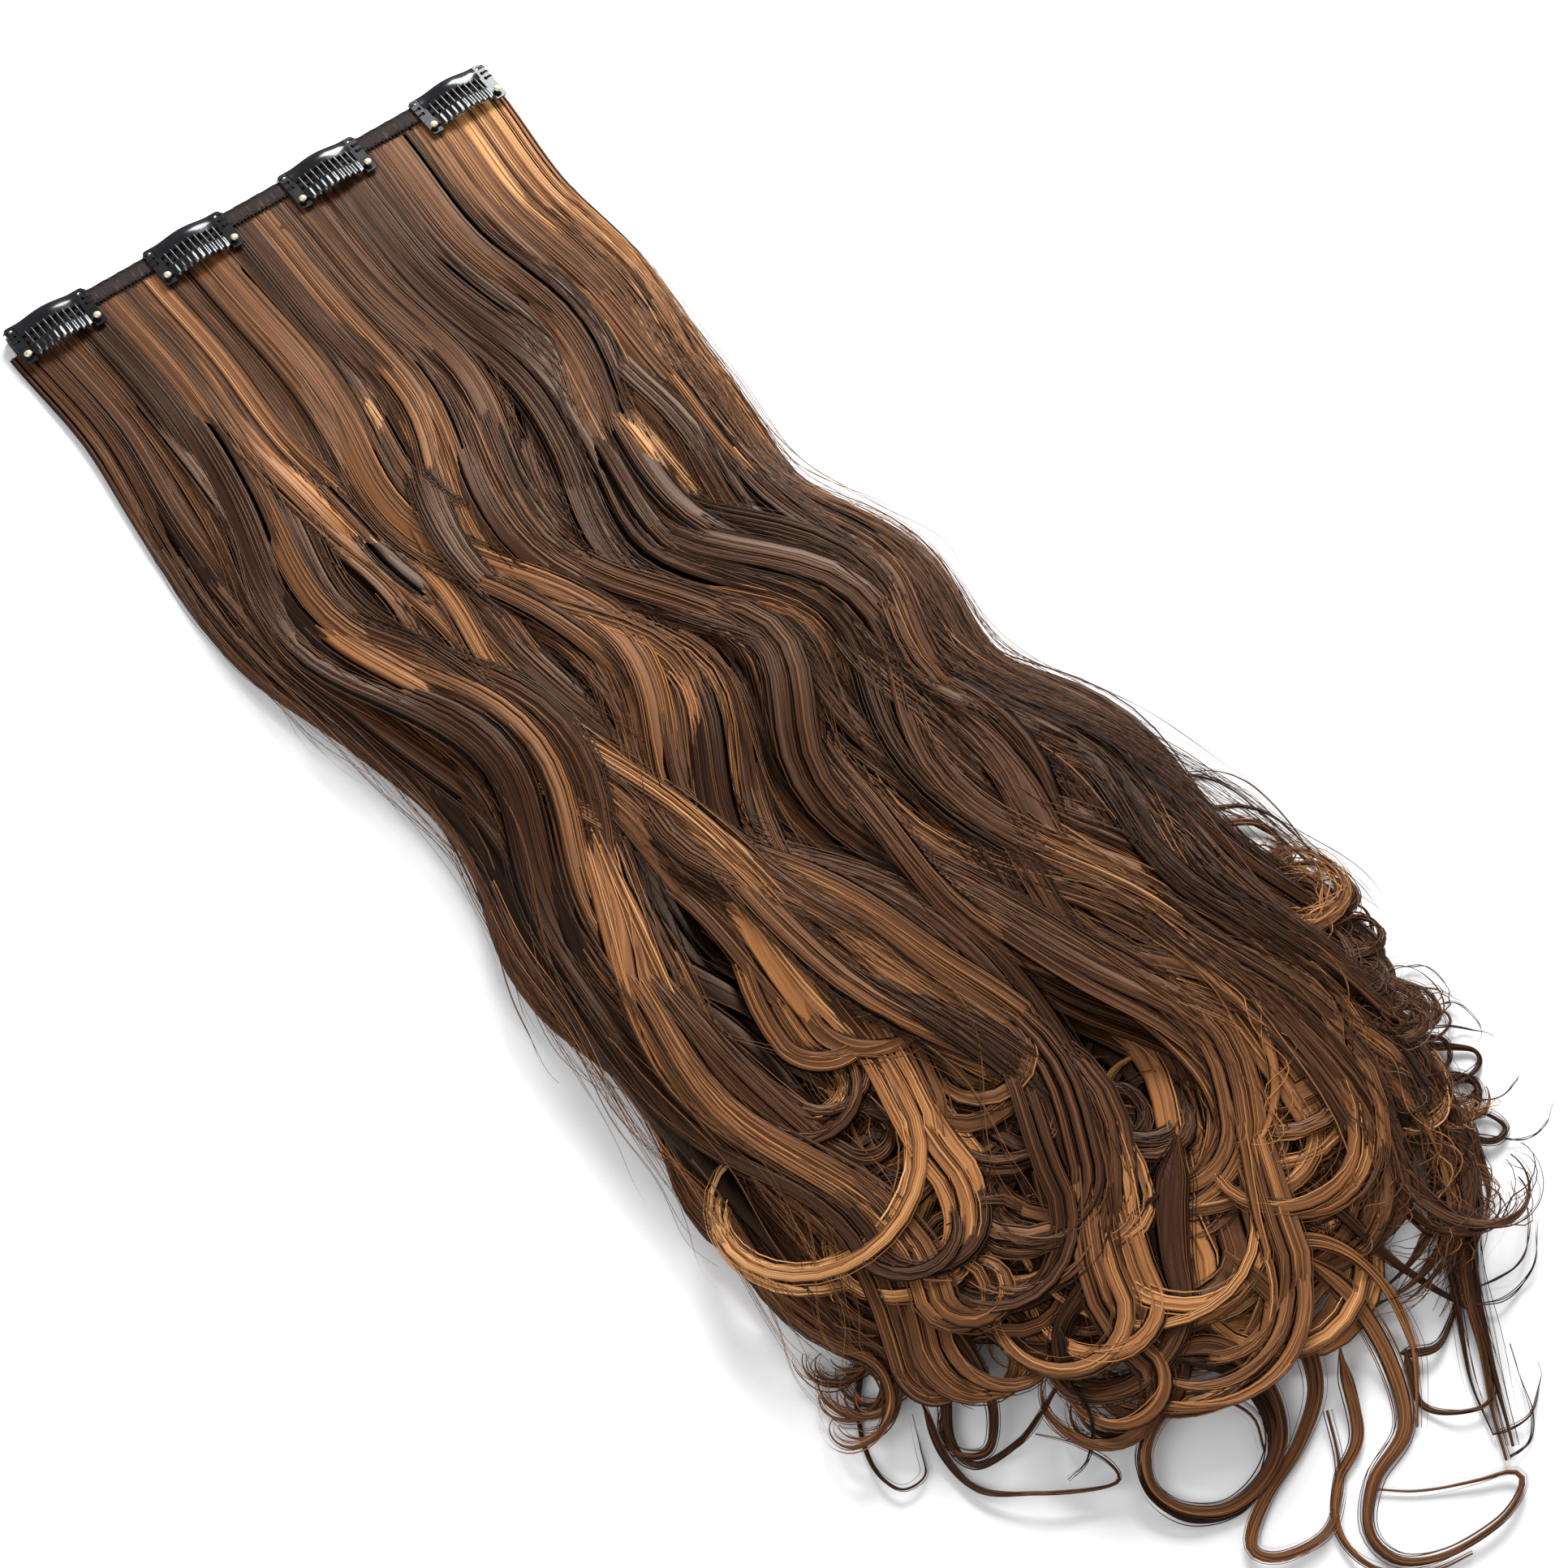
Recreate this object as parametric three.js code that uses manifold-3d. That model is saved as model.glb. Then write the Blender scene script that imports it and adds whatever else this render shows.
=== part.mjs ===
// A clip in hair extension, lying on a table: one wide weft with four snap clips.
// Millimetres. X runs along the weft, the hair lies toward -Y, and +Z is up from the table.
// The origin is the middle of the seam's flat underside.

import * as THREE from "three";
import { mergeVertices } from "three/addons/utils/BufferGeometryUtils.js";
import Module from "manifold-3d";

const wasm = await Module();
wasm.setup();

// Driving dimensions: the weft
const WEFT_WIDTH = 200; // the sewn head of the weft, end to end
const HAIR_LENGTH = 606; // from the seam to the longest tip, as the waves lie
const HAIR_DEPTH = 24; // the deepest stretch of the lying hair
const GAP = 0.3; // between pieces that touch
const SEAM_HEIGHT = 8; // the sewn head, measured along the hair
const SEAM_THICKNESS = 3;
const SEAM_ROUND = 1.2; // the fold along the seam's top edge
const TAPE_HEIGHT = 7.2; // the black band sewn over the seam
const TAPE_THICKNESS = 1.2;
const TAPE_ROUND = 0.4;
const TAPE_INSET = 0.6; // from each end of the seam

// Driving dimensions: one snap clip
const CLIP_COUNT = 4;
const CLIP_LENGTH = 32;
const CLIP_OVERHANG = 0.9; // the clip's top edge past the seam's top edge
const PLATE = 0.6; // sheet steel of the frame
const TAB_WIDTH = 4.5; // the flat plate at each end of a clip
const TAB_FOOT = 3.2; // the plate past the hinge line
const TAB_ROUND = 1.6;
const BAR_WIDTH = 6.2;
const BAR_DOME = 0.5; // the bar's swell across its width
const BAR_OVERLAP = 0.6; // the bar runs this far into each end plate
const SLOT_LENGTH = 8.6; // from the hinge line to the bar
const CROWN = 1.6; // how far a clip bows up at its middle
const SEWING_HOLE = 1.3;
const SEWING_HOLES = 3; // in each end plate
const SEWING_PITCH = 2.7;
const SEWING_INSET = 1.9; // from the clip's top edge to the first hole
const HOLE_SIDES = 6;
const COMB_PLATE = 0.5;
const COMB_CLEARANCE = 0.4; // over and under the comb, which lets it turn
const COMB_FOOT = 1.5; // the comb's strip past the hinge line
const COMB_HEAD = 3.6; // the comb's strip on the slot's side
const COMB_EDGE = 0.6; // width of the strip's sloping edges
const TOOTH_COUNT = 9;
const TOOTH_PITCH = 2.45;
const TOOTH_WIDTH = 1.3; // at the comb's strip
const TOOTH_TIP = 0.7;
const TOOTH_GRIP = 0.7; // how far a tooth reaches over the bar
const SCALLOP = 0.9; // depth of the round lobe below each tooth
const RIB = 0.25; // height of the pressed rib at each tooth
const TONGUE_WIDTH = 1.1; // the comb's narrow end below a rivet's head
const RIVET_HEAD = 2.8;
const RIVET_DOME = 0.8;
const RIVET_SHANK = 1.0;
const RIVET_FLANGE = 0.4;
const RIVET_SIDES = 8;

// Driving dimensions: the locks
const WAVES = 3.45; // waves from seam to tip
const LOCK_TAPER = 0.45; // how much narrower a lock is where its curl begins
const TIP_WIDTH = 6;
const TIP_THICKNESS = 4.5;
const CURL_OPEN = 1.2; // a curl's first radius, as a share of its named one
const CURL_CLOSE = 0.5; // how much of that share is lost by the tip
const CURL_DROP = 0.6; // how far a curl sinks to the table, as a share of its height
const MAT_SHARE = 0.55; // depth of the backing hair below the locks
const MAT_REACH = 0.8; // length of the backing hair, as a share of the whole
const MAT_INSET = 0.05; // from the outline, as a share of the weft's width
const MAT_TIP = 0.35; // how far the backing thins out by its end
const LOCK_SIDES = 6;
const RUN_SECTIONS = 14; // sections along a lock before its curl
const CURL_SECTIONS = 8;
const MAT_SECTIONS = 10;
const MAT_SIDES = 8;
const BAR_SECTIONS = 12;

// Places worked out from the dimensions
const HAIR_TOP = -SEAM_HEIGHT / 2 - GAP;
const TAPE_BASE = SEAM_THICKNESS + GAP;
const CLIP_BASE = TAPE_BASE + TAPE_THICKNESS + GAP;
const HINGE_Y = SEAM_HEIGHT / 2 + CLIP_OVERHANG - BAR_WIDTH - SLOT_LENGTH;
const COMB_BASE = PLATE + COMB_CLEARANCE;
const SLOT_HALF = CLIP_LENGTH / 2 - TAB_WIDTH;
const COMB_HALF = SLOT_HALF - GAP;
const RIVET_X = CLIP_LENGTH / 2 - TAB_WIDTH / 2;

// The lying hair's outline: its edges as shares of WEFT_WIDTH, its depth as a share of HAIR_DEPTH
const OUTLINE = [
  { along: 0.0, left: -0.5, right: 0.48, depth: 0.14 },
  { along: 0.083, left: -0.49, right: 0.455, depth: 0.24 },
  { along: 0.167, left: -0.52, right: 0.475, depth: 0.38 },
  { along: 0.25, left: -0.53, right: 0.435, depth: 0.52 },
  { along: 0.333, left: -0.485, right: 0.415, depth: 0.66 },
  { along: 0.417, left: -0.455, right: 0.495, depth: 0.78 },
  { along: 0.5, left: -0.49, right: 0.46, depth: 0.88 },
  { along: 0.583, left: -0.49, right: 0.535, depth: 0.96 },
  { along: 0.667, left: -0.48, right: 0.585, depth: 1.0 },
  { along: 0.75, left: -0.47, right: 0.605, depth: 1.0 },
  { along: 0.833, left: -0.45, right: 0.565, depth: 0.92 },
  { along: 0.917, left: -0.25, right: 0.36, depth: 0.76 },
  { along: 1.0, left: -0.06, right: 0.22, depth: 0.55 },
];

// Each lock's lane from the left edge (0) to the right edge (1), at the seam and at its tip; its
// width, swing and curl radius as shares of WEFT_WIDTH; its thickness and its layer, from the
// table (0) to the top (1), as shares of the depth; its reach as a share of HAIR_LENGTH; the
// phase of its wave in turns; and its curl in degrees, counter-clockwise from above.
const LOCKS = [
  { seam: 0.1, tip: 0.1, width: 0.24, thick: 0.6, layer: 0.1, reach: 0.79, phase: 0.89, swing: 0.02,
    curl: 230, radius: 0.08 },
  { seam: 0.32, tip: 0.17, width: 0.26, thick: 0.6, layer: 0.1, reach: 0.83, phase: 0.98, swing: 0.03,
    curl: 300, radius: 0.08 },
  { seam: 0.52, tip: 0.42, width: 0.26, thick: 0.6, layer: 0.12, reach: 0.93, phase: 0.07, swing: 0.035,
    curl: -320, radius: 0.08 },
  { seam: 0.72, tip: 0.66, width: 0.26, thick: 0.6, layer: 0.1, reach: 0.89, phase: 0.85, swing: 0.035,
    curl: -300, radius: 0.12 },
  { seam: 0.92, tip: 0.92, width: 0.24, thick: 0.6, layer: 0.1, reach: 0.82, phase: 0.8, swing: 0.03,
    curl: -240, radius: 0.08 },
  { seam: 0.0, tip: 0.0, width: 0.13, thick: 0.5, layer: 0.45, reach: 0.8, phase: 0.0, swing: 0.0,
    curl: 230, radius: 0.05 },
  { seam: 0.12, tip: 0.06, width: 0.17, thick: 0.5, layer: 0.95, reach: 0.81, phase: 0.86, swing: 0.03,
    curl: 320, radius: 0.07 },
  { seam: 0.22, tip: 0.31, width: 0.16, thick: 0.55, layer: 0.8, reach: 0.735, phase: 0.4, swing: 0.045,
    curl: -250, radius: 0.11 },
  { seam: 0.36, tip: 0.47, width: 0.15, thick: 0.5, layer: 0.95, reach: 0.825, phase: 0.067, swing: 0.055,
    curl: -330, radius: 0.1 },
  { seam: 0.5, tip: 0.42, width: 0.14, thick: 0.5, layer: 0.9, reach: 0.89, phase: 0.82, swing: 0.045,
    curl: -330, radius: 0.09 },
  { seam: 0.58, tip: 0.66, width: 0.14, thick: 0.5, layer: 0.95, reach: 0.89, phase: 0.8, swing: 0.045,
    curl: -200, radius: 0.17 },
  { seam: 0.72, tip: 0.8, width: 0.17, thick: 0.55, layer: 0.85, reach: 0.96, phase: 0.55, swing: 0.045,
    curl: -300, radius: 0.11 },
  { seam: 0.84, tip: 0.8, width: 0.18, thick: 0.55, layer: 0.95, reach: 0.85, phase: 0.7, swing: 0.035,
    curl: -120, radius: 0.13 },
  { seam: 1.0, tip: 1.0, width: 0.18, thick: 0.6, layer: 0.6, reach: 0.74, phase: 0.0, swing: 0.0,
    curl: -250, radius: 0.075 },
  { seam: 0.95, tip: 0.92, width: 0.14, thick: 0.5, layer: 0.8, reach: 0.83, phase: 0.3, swing: 0.03,
    curl: 240, radius: 0.055 },
  { seam: 0.88, tip: 0.9, width: 0.12, thick: 0.45, layer: 0.4, reach: 0.93, phase: 0.2, swing: 0.03,
    curl: -60, radius: 0.25 },
];

const COLOURS = { hair: 0x5a3b28, seam: 0x2e211b, tape: 0x15120f, paint: 0x0c0c0e, brass: 0xd9cfae };

function paintOf(colour, roughness, metalness) {
  return new THREE.MeshStandardMaterial({ color: colour, roughness, metalness });
}

function mix(from, to, share) {
  return from + (to - from) * share;
}

function smoothStep(low, high, value) {
  return THREE.MathUtils.smoothstep(value, low, high);
}

// Solids from rings of points, and their joins and cuts

function loft(rings) {
  const sides = rings[0].length;
  const positions = rings.flat().flatMap((point) => [point.x, point.y, point.z]);
  const faces = [];
  for (let ring = 0; ring < rings.length - 1; ring += 1) {
    for (let side = 0; side < sides; side += 1) {
      const near = ring * sides;
      const far = near + sides;
      const next = (side + 1) % sides;
      faces.push(near + side, near + next, far + next, near + side, far + next, far + side);
    }
  }
  const last = (rings.length - 1) * sides;
  for (let side = 1; side < sides - 1; side += 1) {
    faces.push(0, side + 1, side, last, last + side, last + side + 1);
  }
  const geometry = new THREE.BufferGeometry();
  geometry.setAttribute("position", new THREE.Float32BufferAttribute(positions, 3));
  geometry.setIndex(faces);
  return geometry;
}

function solidOf(geometry) {
  const bare = geometry.clone();
  bare.deleteAttribute("normal");
  bare.deleteAttribute("uv");
  const merged = mergeVertices(bare, 1e-4);
  const vertProperties = new Float32Array(merged.attributes.position.array);
  const triVerts = new Uint32Array(merged.index.array);
  return new wasm.Manifold(new wasm.Mesh({ numProp: 3, vertProperties, triVerts }));
}

function geometryOf(solid) {
  const mesh = solid.getMesh();
  const geometry = new THREE.BufferGeometry();
  geometry.setAttribute("position", new THREE.BufferAttribute(new Float32Array(mesh.vertProperties), 3));
  geometry.setIndex(new THREE.BufferAttribute(new Uint32Array(mesh.triVerts), 1));
  return geometry;
}

// The geometries as one solid, with any void sealed inside it filled
function joined(geometries) {
  const whole = geometries.map(solidOf).reduce((sum, piece) => sum.add(piece));
  const shells = whole.decompose().filter((shell) => shell.volume() > 0);
  return geometryOf(shells.reduce((sum, shell) => sum.add(shell)));
}

function meshOf(name, geometry, material) {
  const mesh = new THREE.Mesh(geometry, material);
  mesh.name = name;
  return mesh;
}

// Hair: a backing of low hair with the locks fused onto it

function outlineAt(column, share) {
  const rows = OUTLINE;
  const found = rows.findLastIndex((row) => row.along <= share);
  const index = THREE.MathUtils.clamp(found, 0, rows.length - 2);
  const here = rows[index];
  const next = rows[index + 1];
  const before = rows[Math.max(index - 1, 0)][column];
  const after = rows[Math.min(index + 2, rows.length - 1)][column];
  const t = Math.min((share - here.along) / (next.along - here.along), 1);
  const leave = (next[column] - before) / 2;
  const arrive = (after - here[column]) / 2;
  const cube = t * t * t;
  const square = t * t;
  return (2 * cube - 3 * square + 1) * here[column] + (cube - 2 * square + t) * leave
    + (3 * square - 2 * cube) * next[column] + (cube - square) * arrive;
}

// One station of a lock: its centre, width and thickness at a share of the hair's length
function stationOf(lock, share) {
  const progress = share / lock.reach;
  const width = lock.width * WEFT_WIDTH * (1 - LOCK_TAPER * smoothStep(0.55, 1, progress));
  const left = outlineAt("left", share) * WEFT_WIDTH + width / 2;
  const right = outlineAt("right", share) * WEFT_WIDTH - width / 2;
  const lane = mix(lock.seam, lock.tip, smoothStep(0, 1, progress));
  const wave = Math.sin(2 * Math.PI * (lock.phase + WAVES * share));
  const swing = lock.swing * WEFT_WIDTH * smoothStep(0.05, 0.35, share) * wave;
  const depth = outlineAt("depth", share) * HAIR_DEPTH;
  const thickness = lock.thick * depth;
  const centre = new THREE.Vector3(
    mix(left, right, lane) + swing,
    HAIR_TOP - share * HAIR_LENGTH,
    (depth - thickness) * lock.layer + thickness / 2,
  );
  return { centre, width, thickness };
}

function lockStations(lock) {
  const stations = [];
  for (let index = 0; index <= RUN_SECTIONS; index += 1) {
    stations.push(stationOf(lock, lock.reach * (index / RUN_SECTIONS)));
  }
  const start = stations[RUN_SECTIONS];
  const travel = start.centre.clone().sub(stations[RUN_SECTIONS - 1].centre);
  const turn = THREE.MathUtils.degToRad(lock.curl) / CURL_SECTIONS;
  let heading = Math.atan2(travel.y, travel.x);
  let { x, y } = start.centre;
  for (let index = 1; index <= CURL_SECTIONS; index += 1) {
    const share = index / CURL_SECTIONS;
    const radius = lock.radius * WEFT_WIDTH * (CURL_OPEN - CURL_CLOSE * share);
    heading += turn;
    x += Math.abs(turn) * radius * Math.cos(heading);
    y += Math.abs(turn) * radius * Math.sin(heading);
    stations.push({
      centre: new THREE.Vector3(x, y, start.centre.z * (1 - CURL_DROP * share)),
      width: mix(start.width, TIP_WIDTH, smoothStep(0, 0.7, share)),
      thickness: mix(start.thickness, TIP_THICKNESS, smoothStep(0, 0.7, share)),
    });
  }
  return stations;
}

// A ring across a lock, flattened where it would pass through the table
function ringOf(stations, index) {
  const { centre, width, thickness } = stations[index];
  const before = stations[Math.max(index - 1, 0)].centre;
  const after = stations[Math.min(index + 1, stations.length - 1)].centre;
  const across = index === 0
    ? new THREE.Vector3(1, 0, 0)
    : new THREE.Vector3(before.y - after.y, after.x - before.x, 0).normalize();
  const ring = [];
  for (let side = 0; side < LOCK_SIDES; side += 1) {
    const angle = 2 * Math.PI * (side / LOCK_SIDES);
    const point = centre.clone().addScaledVector(across, Math.cos(angle) * (width / 2));
    point.z = Math.max(centre.z + Math.sin(angle) * (thickness / 2), 0);
    ring.push(point);
  }
  return ring;
}

// A lock in two spans that meet in one ring, so that a curl may pass its own root
function lockSpans(lock) {
  const stations = lockStations(lock);
  const rings = stations.map((_, index) => ringOf(stations, index));
  const middle = RUN_SECTIONS + Math.floor(CURL_SECTIONS / 2);
  return [loft(rings.slice(0, middle + 1)), loft(rings.slice(middle))];
}

function backingHair() {
  const rings = [];
  for (let index = 0; index <= MAT_SECTIONS; index += 1) {
    const share = MAT_REACH * (index / MAT_SECTIONS);
    const thinning = mix(1, MAT_TIP, smoothStep(0.8, 1, index / MAT_SECTIONS));
    const left = (outlineAt("left", share) * thinning + MAT_INSET) * WEFT_WIDTH;
    const right = (outlineAt("right", share) * thinning - MAT_INSET) * WEFT_WIDTH;
    const height = outlineAt("depth", share) * HAIR_DEPTH * MAT_SHARE * thinning;
    const ring = [];
    for (let side = 0; side <= MAT_SIDES; side += 1) {
      const angle = Math.PI * (side / MAT_SIDES);
      const across = (left + right) / 2 + (Math.cos(angle) * (right - left)) / 2;
      const rise = height * Math.sqrt(Math.sin(angle));
      ring.push(new THREE.Vector3(across, HAIR_TOP - share * HAIR_LENGTH, rise));
    }
    rings.push(ring);
  }
  return loft(rings);
}

function hair() {
  const spans = LOCKS.flatMap(lockSpans);
  return meshOf("hair", joined([backingHair(), ...spans]), paintOf(COLOURS.hair, 0.45, 0));
}

// The sewn head of the weft

// A bar along X with the given section, drawn in Y and Z
function barAlongX(section, length) {
  const shape = new THREE.Shape(section);
  const geometry = new THREE.ExtrudeGeometry(shape, { depth: length, bevelEnabled: false });
  geometry.translate(0, 0, -length / 2);
  geometry.rotateX(Math.PI / 2);
  geometry.rotateZ(Math.PI / 2);
  return geometry;
}

function roundedSection(low, high, base, top, round) {
  return [
    new THREE.Vector2(low, base),
    new THREE.Vector2(high - round, base),
    new THREE.Vector2(high, base + round),
    new THREE.Vector2(high, top - round),
    new THREE.Vector2(high - round, top),
    new THREE.Vector2(low, top),
  ];
}

function weftSeam() {
  const half = SEAM_HEIGHT / 2;
  const section = roundedSection(-half, half, 0, SEAM_THICKNESS, SEAM_ROUND);
  return meshOf("weft_seam", barAlongX(section, WEFT_WIDTH), paintOf(COLOURS.seam, 0.7, 0));
}

function weftTape() {
  const half = TAPE_HEIGHT / 2;
  const top = TAPE_BASE + TAPE_THICKNESS;
  const section = roundedSection(-half, half, TAPE_BASE, top, TAPE_ROUND);
  const length = WEFT_WIDTH - 2 * TAPE_INSET;
  return meshOf("weft_tape", barAlongX(section, length), paintOf(COLOURS.tape, 0.8, 0));
}

// One clip, about its hinge line: X along the clip, Y toward its bar, Z up from its frame

function bow(x) {
  const share = Math.min(Math.abs(x) / COMB_HALF, 1);
  return CROWN * (1 - share * share) ** 2;
}

function holePath(x, y, diameter, sides) {
  const points = [];
  for (let side = 0; side < sides; side += 1) {
    const angle = -2 * Math.PI * (side / sides);
    points.push(new THREE.Vector2(x + Math.cos(angle) * (diameter / 2), y + Math.sin(angle) * (diameter / 2)));
  }
  return new THREE.Path(points);
}

// The plate at one end, to the right (1) or left (-1), with its sewing holes and rivet hole
function endPlate(hand) {
  const inner = SLOT_HALF;
  const outer = CLIP_LENGTH / 2;
  const top = SLOT_LENGTH + BAR_WIDTH;
  const corners = [
    [inner, -TAB_FOOT + TAB_ROUND],
    [inner + TAB_ROUND / 3, -TAB_FOOT + TAB_ROUND / 3],
    [inner + TAB_ROUND, -TAB_FOOT],
    [outer - TAB_ROUND, -TAB_FOOT],
    [outer - TAB_ROUND / 3, -TAB_FOOT + TAB_ROUND / 3],
    [outer, -TAB_FOOT + TAB_ROUND],
    [outer, top - TAB_ROUND],
    [outer - TAB_ROUND / 3, top - TAB_ROUND / 3],
    [outer - TAB_ROUND, top],
    [inner, top],
  ];
  const shape = new THREE.Shape(corners.map(([x, y]) => new THREE.Vector2(x, y)));
  for (let index = 0; index < SEWING_HOLES; index += 1) {
    const y = top - SEWING_INSET - index * SEWING_PITCH;
    shape.holes.push(holePath(RIVET_X, y, SEWING_HOLE, HOLE_SIDES));
  }
  shape.holes.push(holePath(RIVET_X, 0, RIVET_SHANK + 2 * GAP, RIVET_SIDES));
  const plate = new THREE.ExtrudeGeometry(shape, { depth: PLATE, bevelEnabled: false });
  if (hand < 0) plate.rotateY(Math.PI).translate(0, 0, PLATE);
  return plate;
}

// A strip along X whose section, in Y and Z, is worked out at each of its stations
function strip(half, stations, sectionAt) {
  const rings = [];
  for (let index = 0; index <= stations; index += 1) {
    const x = mix(-half, half, index / stations);
    rings.push(sectionAt(x).map(([y, z]) => new THREE.Vector3(x, y, z + bow(x))));
  }
  return loft(rings);
}

function frameBar() {
  const low = SLOT_LENGTH;
  const high = SLOT_LENGTH + BAR_WIDTH;
  const section = [
    [low, 0],
    [high, 0],
    [high, PLATE],
    [mix(low, high, 0.7), PLATE + BAR_DOME],
    [mix(low, high, 0.4), PLATE + BAR_DOME],
    [low, PLATE],
  ];
  return strip(SLOT_HALF + BAR_OVERLAP, BAR_SECTIONS, () => section);
}

function combStrip() {
  const head = COMB_HEAD;
  const stations = 3 * Math.round((2 * COMB_HALF) / TOOTH_PITCH);
  return strip(COMB_HALF, stations, (x) => {
    const inTeeth = Math.abs(x) < (TOOTH_COUNT * TOOTH_PITCH) / 2;
    const ridge = inTeeth ? Math.cos((Math.PI * x) / TOOTH_PITCH) ** 2 : 0;
    const foot = -COMB_FOOT - SCALLOP * ridge;
    const top = COMB_BASE + COMB_PLATE;
    return [
      [foot, COMB_BASE],
      [head, COMB_BASE],
      [head, top],
      [head - COMB_EDGE, top + RIB * ridge],
      [foot, top + RIB * ridge],
    ];
  });
}

// A tooth from the comb's strip to its grip over the bar
function tooth(x) {
  const base = COMB_BASE + bow(x);
  const ends = [
    { y: COMB_HEAD - COMB_EDGE, half: TOOTH_WIDTH / 2 },
    { y: SLOT_LENGTH + TOOTH_GRIP, half: TOOTH_TIP / 2 },
  ];
  const rings = ends.map(({ y, half }) => {
    return [
      new THREE.Vector3(x + half, y, base),
      new THREE.Vector3(x - half, y, base),
      new THREE.Vector3(x - half, y, base + COMB_PLATE),
      new THREE.Vector3(x + half, y, base + COMB_PLATE),
    ];
  });
  return loft(rings);
}

// The narrow ends of the comb reach below both rivets' heads, clear of their shanks
function tongues() {
  const reach = RIVET_X - RIVET_SHANK / 2 - GAP;
  const bar = new THREE.BoxGeometry(2 * reach, TONGUE_WIDTH, COMB_PLATE);
  const middle = new THREE.BoxGeometry(2 * (COMB_HALF - COMB_EDGE), 2 * TONGUE_WIDTH, 3 * COMB_PLATE);
  return geometryOf(solidOf(bar).subtract(solidOf(middle))).translate(0, 0, COMB_BASE + COMB_PLATE / 2);
}

function comb() {
  const teeth = [];
  for (let index = 0; index < TOOTH_COUNT; index += 1) {
    teeth.push(tooth((index - (TOOTH_COUNT - 1) / 2) * TOOTH_PITCH));
  }
  return joined([combStrip(), tongues(), ...teeth]);
}

function frame() {
  return joined([frameBar(), endPlate(1), endPlate(-1)]);
}

function rivet() {
  const head = COMB_BASE + COMB_PLATE + COMB_CLEARANCE;
  const profile = [
    [0, -GAP - RIVET_FLANGE],
    [RIVET_HEAD * 0.4, -GAP - RIVET_FLANGE],
    [RIVET_HEAD * 0.4, -GAP],
    [RIVET_SHANK / 2, -GAP],
    [RIVET_SHANK / 2, head],
    [RIVET_HEAD / 2, head],
    [RIVET_HEAD * 0.42, head + RIVET_DOME * 0.6],
    [0, head + RIVET_DOME],
  ];
  const points = profile.map(([radius, height]) => new THREE.Vector2(radius, height));
  return new THREE.LatheGeometry(points, RIVET_SIDES).rotateX(Math.PI / 2);
}

function clip(number) {
  const group = new THREE.Group();
  const pitch = (WEFT_WIDTH - CLIP_LENGTH) / (CLIP_COUNT - 1);
  group.position.set((number - (CLIP_COUNT + 1) / 2) * pitch, HINGE_Y, CLIP_BASE);
  const paint = paintOf(COLOURS.paint, 0.2, 0);
  const brass = paintOf(COLOURS.brass, 0.3, 1);
  const left = meshOf(`clip_${number}_rivet_left`, rivet(), brass);
  const right = meshOf(`clip_${number}_rivet_right`, rivet(), brass.clone());
  left.position.x = -RIVET_X;
  right.position.x = RIVET_X;
  group.add(meshOf(`clip_${number}_frame`, frame(), paint));
  group.add(meshOf(`clip_${number}_comb`, comb(), paint.clone()), left, right);
  return group;
}

const extension = new THREE.Group();
extension.add(hair(), weftSeam(), weftTape());
for (let number = 1; number <= CLIP_COUNT; number += 1) extension.add(clip(number));

export default extension;
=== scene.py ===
# %% [markdown]
# A clip in hair extension is a row of long hair sewn to a narrow band, with small snap clips on the
# band that bite into the wearer's own hair. Here it lies on a pale table. The solids of the packed
# frame carry it, and everything that the eye reads as hair, thread and polished paint is made here.

# %% Load the frame
import math

import bmesh
import bpy
import numpy as np
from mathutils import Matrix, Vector


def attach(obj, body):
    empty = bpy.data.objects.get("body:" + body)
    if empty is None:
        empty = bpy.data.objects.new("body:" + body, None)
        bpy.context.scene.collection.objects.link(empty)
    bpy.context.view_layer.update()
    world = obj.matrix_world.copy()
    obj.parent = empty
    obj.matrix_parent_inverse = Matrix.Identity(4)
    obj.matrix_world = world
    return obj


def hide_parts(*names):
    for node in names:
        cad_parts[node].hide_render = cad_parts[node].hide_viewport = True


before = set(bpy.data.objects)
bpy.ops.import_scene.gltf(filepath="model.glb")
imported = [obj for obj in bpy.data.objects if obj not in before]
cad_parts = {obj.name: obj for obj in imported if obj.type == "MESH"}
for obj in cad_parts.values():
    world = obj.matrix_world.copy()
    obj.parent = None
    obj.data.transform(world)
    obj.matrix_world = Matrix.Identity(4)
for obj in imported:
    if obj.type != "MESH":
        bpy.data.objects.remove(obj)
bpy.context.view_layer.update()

MM = 0.001

# %% [markdown]
# The camera looks down at 62 degrees from the front left corner, because the photographer stood over
# the table. Its place was solved from the two ends of the weft, 200 mm apart, so that the weft runs
# from the left edge of the picture to its top, and the curls fill the bottom right.

# %% Camera
CAMERA_PLACE = (-0.26496, -0.66386, 0.86306)
CAMERA_TURN = -36.99
CAMERA_RISE = 62.0
CAMERA_LENS = 70.0


def direction(turn, rise):
    """The unit vector toward a point seen at this azimuth and elevation, in degrees."""
    a, e = math.radians(turn), math.radians(rise)
    return Vector((math.sin(a) * math.cos(e), -math.cos(a) * math.cos(e), math.sin(e)))


camera = bpy.data.objects.new("camera", bpy.data.cameras.new("camera"))
camera.data.lens = CAMERA_LENS
camera.location = CAMERA_PLACE
camera.rotation_mode = "QUATERNION"
camera.rotation_quaternion = (-direction(CAMERA_TURN, CAMERA_RISE)).to_track_quat("-Z", "Y")
bpy.context.collection.objects.link(camera)
bpy.context.scene.camera = camera
print("camera at", [round(v, 3) for v in camera.location])

# %% [markdown]
# Shader maths reads best as plain arithmetic. This class holds one socket of a material and answers
# to +, - and *, so that a pattern can be written as an expression. A few helpers then start a finish,
# give a number its colours and run wires into the shader.

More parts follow.
